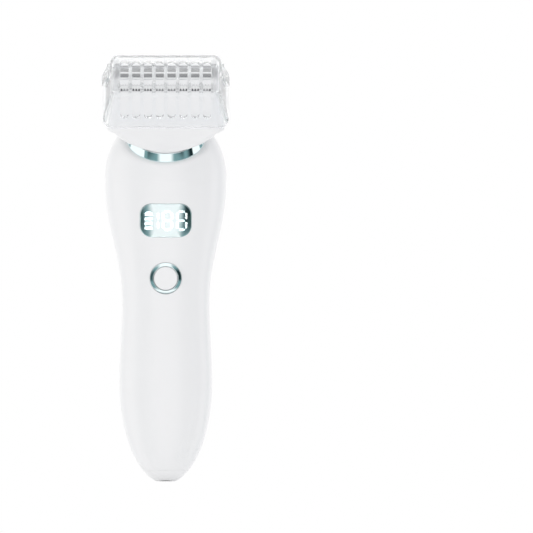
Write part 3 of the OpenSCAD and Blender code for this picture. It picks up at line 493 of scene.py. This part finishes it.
def clear_material():
    material, g, coords, shader, output = new_material("clear_polycarbonate")
    flow = g.noise(coords, 90.0, 2.0)
    path = g.add("ShaderNodeLightPath").outputs
    seen = g.math("MAXIMUM", path["Is Shadow Ray"], path["Is Diffuse Ray"])
    through = g.math("MAXIMUM", seen, 0.22)
    bare = g.add("ShaderNodeBsdfTransparent", {"Color": (0.97, 0.975, 0.98, 1)})
    lit = g.add("ShaderNodeMixShader", {0: through, 1: shader.outputs[0], 2: bare.outputs[0]})
    g.tree.links.new(lit.outputs[0], output.inputs["Surface"])
    connect(
        g, shader,
        Base_Color=g.mix(flow, (0.985, 0.99, 0.993, 1), (0.995, 0.998, 1.0, 1)),
        Transmission_Weight=1.0,
        IOR=1.49,
        Roughness=g.span(flow, 0.01, 0.035),
        Normal=g.bump(flow, 0.04, 0.0003),
    )
    return material


def foil_material():
    """Ground steel with eight fields of staggered holes, in a broad and a narrow band; the bare strip left
    between the two bands is a painted highlight line across the arch.
    """
    material, g, coords, shader, _ = new_material("perforated_foil")
    pitch, row_pitch, seam = 0.00055, 0.00046, 0.00012
    x = g.add("ShaderNodeSeparateXYZ", {"Vector": coords}).outputs[0]
    neck_point = (0, -NECK_Y * MM, NECK_Z * MM)
    backwards = (0, math.cos(NECK_TILT), math.sin(NECK_TILT))
    from_neck = g.add("ShaderNodeVectorMath", {0: coords, 1: neck_point}, operation="SUBTRACT").outputs[0]
    along = g.add("ShaderNodeVectorMath", {0: from_neck, 1: backwards}, operation="DOT_PRODUCT")
    depth = along.outputs["Value"]
    row = g.math("DIVIDE", depth, row_pitch)
    stagger = g.math("MULTIPLY", g.math("FLOORED_MODULO", g.math("FLOOR", row), 2.0), 0.5)
    column = g.math("ADD", g.math("DIVIDE", x, pitch), stagger)
    du = g.math("SUBTRACT", g.math("FRACT", column), 0.5)
    dv = g.math("SUBTRACT", g.math("FRACT", row), 0.5)
    reach = g.math("SQRT", g.math("ADD", g.math("MULTIPLY", du, du), g.math("MULTIPLY", dv, dv)))
    hole = g.math("SUBTRACT", 1.0, g.step(reach, 0.30, 0.40))

    def between(low, high):
        start = g.step(depth, low - seam, low + seam)
        return g.math("MULTIPLY", start, g.math("SUBTRACT", 1.0, g.step(depth, high - seam, high + seam)))

    from_slot = g.math("SUBTRACT", g.math("FRACT", g.math("DIVIDE", x, SLOT_PITCH * MM)), 0.5)
    in_field = g.math("SUBTRACT", 1.0, g.step(g.math("ABSOLUTE", from_slot), 0.34, 0.36))
    # the holes and the grey over the fields are the perforation's own dark; the bare gap between the narrow
    # and the broad band is a painted highlight
    broad, narrow = between(0.0033, 0.0090), between(0.0014, 0.0027)
    holes = g.math("MULTIPLY", hole, g.math("MULTIPLY", in_field, g.math("MAXIMUM", broad, narrow)))
    band = g.math("MULTIPLY", in_field, g.math("MAXIMUM", g.math("MULTIPLY", broad, 0.55), narrow))
    brush = g.noise(coords, 2500.0, 3.0)
    ground = g.mix(brush, (0.86, 0.865, 0.875, 1), (0.93, 0.935, 0.94, 1))
    connect(
        g, shader,
        Base_Color=g.mix(holes, g.mix(band, ground, (0.47, 0.475, 0.485, 1)), (0.10, 0.10, 0.105, 1)),
        Metallic=g.math("SUBTRACT", 0.75, g.math("MULTIPLY", holes, 0.6)),
        Roughness=g.span(brush, 0.3, 0.5),
        Normal=g.bump(g.math("SUBTRACT", 1.0, holes), 0.5, 0.0001),
    )
    return material


def board_material():
    """Solder mask with a faint net of copper tracks."""
    material, g, coords, shader, _ = new_material("circuit_board")
    pattern = {"Vector": coords, "Scale": 420.0}
    cells = g.add("ShaderNodeTexVoronoi", pattern, distance="MANHATTAN", feature="F1")
    tracks = g.step(cells.outputs["Distance"], 0.42, 0.5)
    connect(
        g, shader,
        Base_Color=g.mix(tracks, (0.012, 0.14, 0.07, 1), (0.03, 0.24, 0.12, 1)),
        Roughness=g.span(g.noise(coords, 700.0), 0.25, 0.42),
        Normal=g.bump(tracks, 0.3, 0.00005),
    )
    return material


def sleeve_material():
    """Printed shrink sleeve with a pale band near one end."""
    material, g, coords, shader, _ = new_material("cell_sleeve")
    height = g.add("ShaderNodeSeparateXYZ", {"Vector": coords}).outputs[2]
    low, high, soft = 0.0560, 0.0590, 0.0003
    above = g.step(height, low, low + soft)
    band = g.math("MULTIPLY", above, g.math("SUBTRACT", 1.0, g.step(height, high, high + soft)))
    wrinkle = g.noise(coords, 300.0, 4.0)
    sleeve = g.mix(wrinkle, (0.02, 0.13, 0.33, 1), (0.03, 0.18, 0.42, 1))
    connect(
        g, shader,
        Base_Color=g.mix(band, sleeve, (0.75, 0.78, 0.8, 1)),
        Roughness=g.span(wrinkle, 0.22, 0.36),
        Normal=g.bump(wrinkle, 0.15, 0.0001),
    )
    return material


def lead_material():
    """Silicone insulation: red on the positive side, black on the other."""
    material, g, coords, shader, _ = new_material("insulated_leads")
    side = g.step(g.add("ShaderNodeSeparateXYZ", {"Vector": coords}).outputs[0], -0.0004, 0.0004)
    grain = g.noise(coords, 2000.0, 3.0)
    connect(
        g, shader,
        Base_Color=g.mix(side, (0.02, 0.02, 0.022, 1), (0.55, 0.03, 0.03, 1)),
        Roughness=g.span(grain, 0.4, 0.6),
        Normal=g.bump(grain, 0.1, 0.00005),
    )
    return material


WHITE = (0.895, 0.895, 0.90)
MATERIALS = {
    "shell": moulded("white_shell", WHITE, rough=0.33, coat=0.12),
    "chrome": chrome_material(),
    "window": lens_material(),
    "icons": icon_material(),
    "dark_plastic": moulded("black_plastic", (0.03, 0.032, 0.036), rough=0.45, depth=0.2, mottle=0.8),
    "silicone": moulded("grey_silicone", (0.38, 0.39, 0.41), rough=0.6, depth=0.15, mottle=0.9),
    "board": board_material(),
    "components": moulded("moulded_packages", (0.035, 0.035, 0.038), rough=0.5, depth=0.3, mottle=0.7),
    "steel": metal("plated_steel", (0.62, 0.62, 0.64), rough=0.24),
    "inner_plastic": moulded("natural_acetal", (0.84, 0.85, 0.86), rough=0.42, depth=0.12, mottle=0.95),
    "cell": sleeve_material(),
    "foam": moulded("closed_foam", (0.06, 0.06, 0.065), rough=0.85, grain=900.0, depth=0.8, mottle=0.6),
    "leads": lead_material(),
    "bridge": moulded("blue_acetal", (0.10, 0.30, 0.42), rough=0.38, depth=0.12, mottle=0.93),
    "blade_steel": metal("ground_blade_steel", (0.72, 0.73, 0.74), rough=0.16, brush=(60.0, 1.0, 1.0)),
    "clear": clear_material(),
}
FOIL = foil_material()
LENS_BODY = lens_body_material()


def coat_front_only(lens):
    """Gives the lens's front faces the mirror coating and the rest the clear body."""
    lens.data.materials.append(LENS_BODY)
    for face in lens.data.polygons:
        face.material_index = 1 if face.normal.y > -0.3 else 0


def crisp_smooth_group():
    """Geometry nodes that weld a faceted CAD mesh, then smooth it up to its real edges."""
    group = bpy.data.node_groups.new("crisp_smooth", "GeometryNodeTree")
    group.interface.new_socket("Geometry", in_out="INPUT", socket_type="NodeSocketGeometry")
    group.interface.new_socket("Geometry", in_out="OUTPUT", socket_type="NodeSocketGeometry")
    nodes, links = group.nodes, group.links
    start, end = nodes.new("NodeGroupInput"), nodes.new("NodeGroupOutput")
    weld = nodes.new("GeometryNodeMergeByDistance")
    weld.inputs["Distance"].default_value = 1e-6
    strip = nodes.new("GeometryNodeRemoveAttribute")
    strip.inputs["Name"].default_value = "custom_normal"
    angle = nodes.new("GeometryNodeInputMeshEdgeAngle")
    small = nodes.new("FunctionNodeCompare")
    small.operation = "LESS_THAN"
    small.inputs[1].default_value = math.radians(28)
    faces = nodes.new("GeometryNodeSetShadeSmooth")
    edges = nodes.new("GeometryNodeSetShadeSmooth")
    edges.domain = "EDGE"
    links.new(start.outputs[0], weld.inputs["Geometry"])
    links.new(weld.outputs["Geometry"], strip.inputs["Geometry"])
    links.new(strip.outputs["Geometry"], faces.inputs["Geometry"])
    links.new(faces.outputs["Geometry"], edges.inputs["Geometry"])
    links.new(angle.outputs["Unsigned Angle"], small.inputs[0])
    links.new(small.outputs["Result"], edges.inputs["Shade Smooth"])
    links.new(edges.outputs["Geometry"], end.inputs[0])
    return group


def dress_frame():
    """Every CAD node gets its slot's material and smooth round faces."""
    group = crisp_smooth_group()
    slots = {s["node"]: s["material_slot"] for s in frame["record"]["subparts"]}
    for name, obj in frame["nodes"].items():
        obj.data.materials.clear()
        obj.data.materials.append(MATERIALS[slots[name]])
        smooth = obj.modifiers.new("crisp_smooth", "NODES")
        smooth.node_group = group


# ------------------------------------------------------------------ handle pieces
def handle_part(name, cuts):
    """A moulded part of the handle: its skin, cleared beyond each (point, outward) plane."""
    bm = bmesh.new()
    skin(bm, handle_sections(168))
    for point, outward in cuts:
        bmesh.ops.bisect_plane(
            bm, geom=bm.verts[:] + bm.edges[:] + bm.faces[:],
            plane_co=point, plane_no=outward, clear_outer=True,
        )
    bmesh.ops.recalc_face_normals(bm, faces=bm.faces)
    bm.normal_update()
    outward = sum(f.normal.xy.dot(f.calc_center_median().xy) * f.calc_area() for f in bm.faces)
    if outward < 0:
        bmesh.ops.reverse_faces(bm, faces=bm.faces)
    bm.transform(Matrix.Scale(MM, 4))
    obj = link_mesh(bm, name)
    wall = obj.modifiers.new("wall", "SOLIDIFY")
    wall.thickness = WALL * MM
    wall.offset = -1
    apply_modifiers(obj)
    return obj


def half_shell(name, side):
    """Side -1 is the front, 1 the back."""
    return handle_part(name, [
        ((0, side * SEAM_GAP / 2, 0), (0, -side, 0)),
        ((0, 0, TAIL_CAP_TOP), (0, 0, -1)),
    ])


def tail_cap():
    obj = handle_part("tail_tip", [((0, 0, TAIL_CAP_TOP - TAIL_CAP_GAP), (0, 0, 1))])
    r = SOCKET_HOLE_R
    carve(obj, [prism("socket_cut", rounded_outline(2 * r, 2 * r, r, 24), -4, 9, Matrix.Identity(4))])
    return obj


def front_half():
    obj = half_shell("handle_front", -1)
    clearance = 0.1
    opening = rounded_outline(DISPLAY_W + 2 * clearance, DISPLAY_H + 2 * clearance, DISPLAY_R, 14)
    window = prism("window_cut", [(x, y + DISPLAY_UP) for x, y in opening], -8, 6, TO_FACE)
    ring_r = BUTTON_RING_R + clearance
    hole = prism("button_cut", rounded_outline(2 * ring_r, 2 * ring_r, ring_r, 24), -8, 6, TO_FACE)
    carve(obj, [window, hole])
    return obj


def button_ring():
    bore, lip, seat, proud = BUTTON_R + 0.15, BUTTON_RING_R, 0.9, 0.45
    profile = [(bore, -2.3), (lip - 0.6, -2.3), (lip - 0.6, -seat), (lip, -seat)]
    fall, tight = 0.43, 0.14
    profile += arc(lip - tight, proud - fall - tight, tight, 0, 66, 5)
    profile += arc(bore + tight, proud - tight, tight, 66, 180, 8)
    return lathe("button_bezel", profile, TO_FACE, 144)


def button_cap():
    stem, r, edge = 1.5, BUTTON_R, 0.35
    dome = [(r - edge) * (1 - k / 8) for k in range(1, 9)]
    profile = [(0, -3.1), (stem, -3.1), (stem, -1.8), (r, -1.8)]
    profile += arc(r - edge, 0.32 - edge, edge, 0, 80, 7)
    profile += [(x, 0.32 + 0.1 * (1 - (x / (r - edge)) ** 2)) for x in dome]
    return lathe("button_cap", profile, TO_FACE, 144)


def collar():
    top_r, edge = COLLAR_BORE + 0.25, 0.12
    profile = [(MOUTH_R - 0.65, -2.5), (MOUTH_R - 0.05, -2.5), (MOUTH_R - 0.05, 0), (COLLAR_R, 0)]
    profile += [(COLLAR_R, 0.25)]
    profile += arc(COLLAR_R - 0.15, 0.38, 0.15, 0, 60, 4)
    profile += arc(top_r - 0.02, COLLAR_H - edge, edge, 20, 90, 6)
    profile += [(COLLAR_BORE, COLLAR_H), (COLLAR_BORE, 0.4), (MOUTH_R - 0.65, 0.4)]
    return lathe("neck_collar", profile, TO_NECK, 192, 25)


def on_window(x, v, lift):
    """Point on the skin over the display: x across, v up the face, lift outwards."""
    z = DISPLAY_Z + v * math.cos(FACE_TILT)
    step = 0.2
    slope_x = (skin_y(x + step, z) - skin_y(x - step, z)) / (2 * step)
    slope_z = (skin_y(x, z + step) - skin_y(x, z - step)) / (2 * step)
    normal = Vector((slope_x, -1, slope_z)).normalized()
    return Vector((x, skin_y(x, z), z)) + normal * lift


def display_outline(inset):
    """Outline of the display, drawn in by the inset."""
    return rounded_outline(DISPLAY_W - 2 * inset, DISPLAY_H - 2 * inset, DISPLAY_R - inset, 14)


def display_lens():
    """Convex lens with a rounded rim that follows the handle's front."""
    bm = bmesh.new()
    rim, thick, crown, steps = 0.3, 1.3, 0.15, 12
    rings = []
    for k in range(1, steps + 1):
        s = k / steps
        rings.append([on_window(x * s, v * s, crown * (1 - s * s)) for x, v in display_outline(rim)])
    for k in range(1, 9):
        t = math.pi / 2 * k / 8
        inset = rim * (1 - math.sin(t))
        drop = rim * 0.55 * (1 - math.cos(t))
        rings.append([on_window(x, v, -drop) for x, v in display_outline(inset)])
    for s in (1.0, 0.8, 0.5, 0.2):
        rings.append([on_window(x * s, v * s, -thick) for x, v in display_outline(0)])
    skin(bm, rings, closed_ends=True)
    return place(bm, "display_lens", smooth_angle=50)


def display_rim():
    """Hair-thin bright bead between the lens and the shell."""
    bm = bmesh.new()
    bead = 0.11
    rings = []
    outline = display_outline(-0.08)
    for k in range(10):
        t = 2 * math.pi * k / 10
        grow = 1 + bead * math.cos(t) / (DISPLAY_H / 2)
        rings.append([on_window(x * grow, v * grow, bead * math.sin(t) - 0.12) for x, v in outline])
    skin(bm, rings, loop=True)
    return place(bm, "display_rim")


def add_bar(bm, x, y, w, h, r, low, high):
    """One lit bar: a rounded outline between two heights."""
    rings = [[Vector((px + x, py + y, z)) for px, py in rounded_outline(w, h, r, 5)] for z in (low, high)]
    skin(bm, rings, closed_ends=True)


def display_icons():
    """Battery symbol of four bars and a three-figure readout, all segments rounded."""
    low, high = -3.0, -2.6
    middle_up = DISPLAY_UP - 0.45
    bm = bmesh.new()
    cell_x, cell_w, bar_h, bar_pitch = -6.7, 3.1, 1.3, 1.78
    for k in range(4):
        add_bar(bm, cell_x, middle_up - 2.9 + k * bar_pitch, cell_w, bar_h, 0.35, low, high)
    add_bar(bm, cell_x, middle_up + 3.0, cell_w * 0.62, 1.3, 0.6, low, high)
    seg, figure_w, figure_h, upright, crossbar = 0.86, 3.45, 7.1, 2.55, 2.3
    for centre, full in ((-4.65, False), (0.7, True), (6.25, True)):
        for side in (-1, 1):
            for level in (-1, 1):
                if full or side > 0:
                    x, y = centre + side * figure_w / 2, middle_up + level * figure_h / 4
                    add_bar(bm, x, y, seg, upright, seg / 2 - 0.02, low, high)
        if full:
            for level in (-1, 0, 1):
                y = middle_up + level * figure_h / 2
                add_bar(bm, centre, y, crossbar, seg, seg / 2 - 0.02, low, high)
    return place(bm, "lit_symbols", TO_FACE)


# ------------------------------------------------------------------ head pieces
def flare_ring(t, h, steps=12):
    s = math.sqrt(1 - (1 - t) ** 2)
    w = 2 * NECK_R + (FRAME_W - 2 * NECK_R) * s
    d = 2 * NECK_R + (FRAME_D - 2 * NECK_R) * s
    return rounded_ring(w, d, min(NECK_R + (FRAME_CORNER - NECK_R) * t * t, d / 2 - 0.01), h, steps)


def head_base():
    """Hollow boat-shaped base on a round neck, drawn as one closed wall."""
    steps = 12
    edge, wall, hollow_r, shaft_r = 0.35, 1.6, FRAME_D / 2 - 2.0, 4.0
    neck_in = NECK_R - 1.8
    rings = [rounded_ring(2 * NECK_R, 2 * NECK_R, NECK_R, h, steps) for h in (0.5, 1.5, 2.6, FLARE_LOW - 0.2)]
    count = 22
    for k in range(count + 1):
        t = 1 - math.cos(math.pi / 2 * k / count)
        rings.append(flare_ring(t, FLARE_LOW + (FLARE_HIGH - FLARE_LOW) * t, steps))
    for k in range(5):
        a = math.pi / 2 * k / 4
        inset = edge * (1 - math.cos(a))
        h = BASE_TOP - edge + edge * math.sin(a)
        rings.append(rounded_ring(FRAME_W - 2 * inset, FRAME_D - 2 * inset, FRAME_CORNER - inset, h, steps))
    inner = (FRAME_W - 2 * wall, FRAME_D - 2 * wall, FRAME_CORNER - 1.2)
    rings += [rounded_ring(*inner, h, steps) for h in (BASE_TOP, BASE_FLOOR)]
    rings += [rounded_ring(2 * r, 2 * r, r, h, steps) for r, h in (
        (shaft_r, BASE_FLOOR), (shaft_r, BASE_FLOOR - 1.4), (hollow_r, BASE_FLOOR - 1.4),
        (hollow_r, 4.6), (neck_in, 4.6), (neck_in, 0.5))]
    bm = bmesh.new()
    skin(bm, rings, loop=True)
    return place(bm, "head_body", TO_NECK, 40)


def foil_housing():
    """White frame round the foil: softened top edges, two windows and a row of guide blocks."""
    shoulder, run, corner_run = 0.8, 1.4, 0.6
    shoulder_w, shoulder_d, shoulder_z = FRAME_TOP_W + 0.8, FRAME_D - 0.4, FRAME_TOP - shoulder
    outer = [
        rounded_ring(FRAME_W, FRAME_D, FRAME_CORNER, FRAME_LOW),
        rounded_ring(shoulder_w, shoulder_d, FRAME_CORNER, shoulder_z),
    ]
    for k in range(1, 6):
        a = math.pi / 2 * k / 5
        c = 1 - math.cos(a)
        outer.append(rounded_ring(
            shoulder_w - run * c, shoulder_d - run * c,
            FRAME_CORNER - corner_run * c, shoulder_z + shoulder * math.sin(a)))
    bm = bmesh.new()
    skin(bm, outer, closed_ends=True)
    obj = place(bm, "foil_housing", TO_NECK)
    bm = bmesh.new()
    inset = 2 * FRAME_WALL
    skin(bm, [
        rounded_ring(FRAME_W - inset, FRAME_D - inset, FRAME_CORNER - 1, FRAME_LOW - 1),
        rounded_ring(FRAME_TOP_W - inset + 0.4, FRAME_D - inset - 0.4, FRAME_CORNER - 1, FRAME_TOP - 1.6),
    ], closed_ends=True)
    hollow = place(bm, "hollow_cut", TO_NECK)
    gap, foil_depth, trimmer_depth, above = 0.25, 3.9, 3.0, 2.0
    foil_window = prism(
        "foil_cut",
        [(x, y + FOIL_Y) for x, y in rounded_outline(CARRIER_LEN + 2 * gap, CARRIER_D + 2 * gap, 0.5, 4)],
        FRAME_TOP - foil_depth, FRAME_TOP + above, TO_NECK)
    trimmer_window = prism(
        "trimmer_cut",
        [(x, y - TRIMMER_Y) for x, y in rounded_outline(TRIMMER_LEN, TRIMMER_D, 0.4, 4)],
        FRAME_TOP - trimmer_depth, FRAME_TOP + above, TO_NECK)
    block_w, block_t, block_h = 1.3, 0.5, 1.2
    blocks = bmesh.new()
    for k in range(SLOT_COUNT + 1):
        x, y = (k - SLOT_COUNT / 2) * SLOT_PITCH, (block_t - FRAME_D) / 2
        outline = [(x + px, py + y) for px, py in rounded_outline(block_w, block_t, 0.12, 4)]
        heights = (shoulder_z - block_h, shoulder_z)
        skin(blocks, [[Vector((px, py, h)) for px, py in outline] for h in heights], closed_ends=True)
    carve(obj, [place(blocks, "guide_blocks", TO_NECK)], "UNION")
    carve(obj, [hollow, foil_window, trimmer_window])
    soften(obj, 0.12, 2)
    return obj


def foil_sheet():
    """Arched foil, thin and perforated."""
    bm = bmesh.new()
    thick, reach, across, along = 0.12, math.radians(74), 40, 60
    angles = [-reach + 2 * reach * k / across for k in range(across + 1)]
    profile = [(FOIL_R, a) for a in angles] + [(FOIL_R - thick, a) for a in reversed(angles)]
    rows = []
    for i in range(along + 1):
        x = -FOIL_LEN / 2 + FOIL_LEN * i / along
        rows.append([
            Vector((x, FOIL_Y + r * math.sin(a), BLADE_AXIS + r * math.cos(a))) for r, a in profile
        ])
    skin(bm, rows, closed_ends=True)
    return place(bm, "foil_sheet", TO_NECK)


def cap_width(h):
    return CAP_W + (CAP_TOP_W - CAP_W) * (h - CAP_LOW) / CAP_H


def cap_solid(name, inset, low):
    """Tapering box with rounded corners and a rounded top edge."""
    steps, round_steps = 10, 8
    edge = CAP_EDGE_R - inset / 4
    corner = CAP_SIDE_R - inset / 2
    top = CAP_TOP - inset / 2
    rings = [rounded_ring(cap_width(CAP_LOW) - inset, CAP_D - inset, corner, low, steps)]
    top_w, top_d = cap_width(CAP_TOP - edge) - inset, CAP_D - inset
    for k in range(round_steps + 1):
        t = math.pi / 2 * k / round_steps
        c = edge * (1 - math.cos(t))
        h = top - edge + edge * math.sin(t)
        rings.append(rounded_ring(top_w - 2 * c, top_d - 2 * c, corner - c * 0.6, h, steps))
    bm = bmesh.new()
    skin(bm, rings, closed_ends=True)
    return place(bm, name, TO_NECK)


def cap_outline_cutter():
    """Prism along the head's depth with the cap's front outline, all corners rounded."""
    top, bottom, r = CAP_TOP_W / 2, CAP_W / 2, CAP_CORNER
    lean = math.degrees(math.atan((bottom - top) / (CAP_H - 2 * r)))
    points = arc(bottom - r, CAP_LOW + r, r, -90, lean, 12)
    points += arc(top - r, CAP_TOP - r, r, lean, 90, 12)
    points += [(-x, h) for x, h in reversed(points)]
    bm = bmesh.new()
    skin(bm, [[Vector((x, y, h)) for x, h in points] for y in (-30, 30)], closed_ends=True)
    return place(bm, "outline_cut", TO_NECK)


def slot_cutters():
    """The comb slots: one set through the front wall, one through the top."""
    front, top = bmesh.new(), bmesh.new()
    for k in range(SLOT_COUNT):
        x = (k - (SLOT_COUNT - 1) / 2) * SLOT_PITCH
        r = SLOT_W / 2
        lower = arc(x, SLOT_END_Z, r, 180, 360, 14) + [(x + r, CAP_TOP + 3), (x - r, CAP_TOP + 3)]
        skin(front, [[Vector((px, y, h)) for px, h in lower] for y in (-CAP_D, -CAP_D / 4)], closed_ends=True)
        upper = [(x + r, -CAP_D)] + arc(x, SLOT_BACK_Y - r, r, 0, 180, 14) + [(x - r, -CAP_D)]
        heights = (CAP_TOP - 2.5, CAP_TOP + 3)
        skin(top, [[Vector((px, py, h)) for px, py in upper] for h in heights], closed_ends=True)
    return [place(front, "front_slots", TO_NECK), place(top, "top_slots", TO_NECK)]


def side_tab(side):
    """Finger tab on the side of the cap: a small wing that grows outwards as it goes down."""
    x = side * (cap_width(CAP_TOP - 4) / 2 - 0.4)
    top_h, low_h = CAP_TOP - 2.1, CAP_TOP - 7.9
    rings = []
    for k in range(9):
        s = k / 8
        width = 0.9 + 1.9 * ease(s)
        depth = 8 - 2 * s
        centre = x + side * (width / 2 - 0.5 + 0.3 * s)
        rings.append([
            Vector((centre + px, 5 + py, top_h + (low_h - top_h) * s))
            for px, py in rounded_outline(width, depth, 0.42, 6)
        ])
    bm = bmesh.new()
    skin(bm, rings, closed_ends=True)
    return place(bm, "side_tab", TO_NECK)


def clear_cap():
    obj = cap_solid("clear_cap", 0, CAP_LOW)
    hollow = cap_solid("hollow_cut", 2 * CAP_WALL, CAP_LOW - 1)
    carve(obj, [cap_outline_cutter()], "INTERSECT")
    carve(obj, [side_tab(-1), side_tab(1)], "UNION")
    carve(obj, [hollow] + slot_cutters())
    soften(obj, 0.22, 3)
    return obj


# ------------------------------------------------------------------ studio
def studio_world():
    """White room for the eye; soft even light for the plastic; a few dark panels for the chrome."""
    world = bpy.data.worlds.new("studio")
    bpy.context.scene.world = world
    world.use_nodes = True
    g = Graph(world.node_tree)
    direction = g.add("ShaderNodeTexCoord").outputs["Generated"]
    x, y, z = g.add("ShaderNodeSeparateXYZ", {"Vector": direction}).outputs
    azimuth = g.math("ARCTAN2", x, g.math("MULTIPLY", y, -1.0))
    height = g.math("ARCSINE", z)

    def band(value, start, end, soft_start, soft_end):
        a = g.step(value, math.radians(start - soft_start), math.radians(start + soft_start))
        b = g.step(value, math.radians(end - soft_end), math.radians(end + soft_end))
        return g.math("MULTIPLY", a, g.math("SUBTRACT", 1.0, b))

    # azimuth from the front, positive to the right; each panel: azimuths, heights, depth, tone
    teal, ink = (0.04, 0.20, 0.22, 1), (0.004, 0.012, 0.014, 1)
    panels = [
        ((21, 84, 8, 1.5), (-48, 30, 8, 12), 0.84, teal),
        ((-66, -22, 2, 8), (-48, 25, 8, 12), 0.84, teal),
        ((27, 55, 5, 6), (-21, 12, 5, 8), 0.95, ink),
        ((70, 84, 8, 1.5), (-34, 30, 6, 8), 0.97, ink),
        ((-56, -33, 4, 5), (-22, 8, 6, 8), 0.75, ink),
        ((112, 128, 3, 3), (-45, 60, 8, 8), 0.85, teal),
        ((-128, -118, 3, 3), (-45, 60, 8, 8), 0.75, teal),
    ]
    mirror = (1.12, 1.12, 1.12, 1)
    for sides, heights, depth, tone in panels:
        shape = g.math("MULTIPLY", band(azimuth, *sides), band(height, *heights))
        mirror = g.mix(g.math("MULTIPLY", shape, depth), mirror, tone)
    glossy = g.add("ShaderNodeBackground", {"Color": mirror, "Strength": 1.0})
    through = g.add("ShaderNodeBackground", {"Color": g.mix(0.5, mirror, (1, 1, 1, 1)), "Strength": 1.0})
    tilt = g.step(g.math("ADD", x, g.math("MULTIPLY", z, -0.35)), -1.0, 1.0)
    soft = g.mix(tilt, (0.955, 0.955, 0.955, 1), (0.915, 0.92, 0.94, 1))
    diffuse = g.add("ShaderNodeBackground", {"Color": soft, "Strength": 0.955})
    eye = g.add("ShaderNodeBackground", {"Color": (1, 1, 1, 1), "Strength": 1.0})
    path = g.add("ShaderNodeLightPath").outputs
    seen = glossy
    for ray, light in (("Transmission", through), ("Diffuse", diffuse), ("Camera", eye)):
        inputs = {0: path["Is %s Ray" % ray], 1: seen.outputs[0], 2: light.outputs[0]}
        seen = g.add("ShaderNodeMixShader", inputs)
    g.add("ShaderNodeOutputWorld", {"Surface": seen.outputs[0]})


def studio_floor():
    """Pale floor under the tail that fades into the white room."""
    radius, drop = 0.6, 0.0004
    bm = bmesh.new()
    bmesh.ops.create_circle(bm, cap_ends=True, segments=96, radius=radius)
    floor = link_mesh(bm, "floor")
    floor.location.z = cad_box[0][2] - drop
    material, g, coords, shader, output = new_material("pale_floor")
    connect(
        g, shader,
        Base_Color=g.mix(g.noise(coords, 40.0), (0.93, 0.93, 0.93, 1), (0.95, 0.95, 0.95, 1)),
        Roughness=0.7,
        Specular_IOR_Level=0.1,
        Emission_Color=(1, 1, 1, 1),
        Emission_Strength=0.1,
    )
    reach = g.add("ShaderNodeVectorMath", {0: coords}, operation="LENGTH").outputs["Value"]
    clear = g.add("ShaderNodeBsdfTransparent")
    far = g.step(reach, radius * 0.25, radius * 0.95)
    fade = g.add("ShaderNodeMixShader", {0: far, 1: shader.outputs[0], 2: clear.outputs[0]})
    g.tree.links.new(fade.outputs[0], output.inputs["Surface"])
    floor.data.materials.append(material)
    floor.visible_glossy = False
    floor.visible_transmission = False


def area_light(name, location, target, size, power):
    data = bpy.data.lights.new(name, "AREA")
    data.shape = "DISK"
    data.size = size
    data.energy = power
    light = bpy.data.objects.new(name, data)
    light.location = location
    light.rotation_euler = (Vector(target) - Vector(location)).to_track_quat("-Z", "Y").to_euler()
    light.visible_glossy = False
    light.visible_transmission = False
    bpy.context.scene.collection.objects.link(light)


def studio_camera():
    """Square-on view with no perspective; the object stands left of the middle."""
    frame_width, beside, above = 0.2068, 0.0391, 0.0833
    data = bpy.data.cameras.new("camera")
    data.type = "ORTHO"
    data.ortho_scale = frame_width
    camera = bpy.data.objects.new("camera", data)
    camera.location = (beside, -1.0, above)
    camera.rotation_euler = (math.pi / 2, 0, 0)
    bpy.context.scene.collection.objects.link(camera)
    bpy.context.scene.camera = camera


# ------------------------------------------------------------------ build
studio_camera()
studio_world()
studio_floor()
middle = (0, 0, 0.085)
area_light("key", (-0.45, -0.6, 0.45), middle, 0.5, 0.3)
bpy.context.scene.view_settings.view_transform = "Standard"

dress_frame()
dress(front_half(), "handle", MATERIALS["shell"], "shell", "front_shell")
dress(half_shell("handle_back", 1), "handle", MATERIALS["shell"], "shell", "rear_shell")
dress(tail_cap(), "handle", MATERIALS["shell"], "shell", "tail_cap")
dress(collar(), "handle", MATERIALS["chrome"], "chrome", "collar_ring")
dress(button_ring(), "handle", MATERIALS["chrome"], "chrome", "button_ring")
dress(button_cap(), "button", MATERIALS["shell"], "shell", "power_button")
lens = display_lens()
dress(lens, "handle", MATERIALS["window"], "window", "display_window")
coat_front_only(lens)
dress(display_rim(), "handle", metal("rim_metal", (0.42, 0.52, 0.53), rough=0.3), "chrome")
dress(display_icons(), "handle", MATERIALS["icons"], "icons", "display_icons")
dress(head_base(), "head", MATERIALS["shell"], "shell", "head_base")
dress(foil_housing(), "foil_cassette", MATERIALS["shell"], "shell", "foil_frame")
dress(foil_sheet(), "foil", FOIL, "blade_steel", "shaver_foil")
dress(clear_cap(), "cap", MATERIALS["clear"], "clear", "comb_cap")
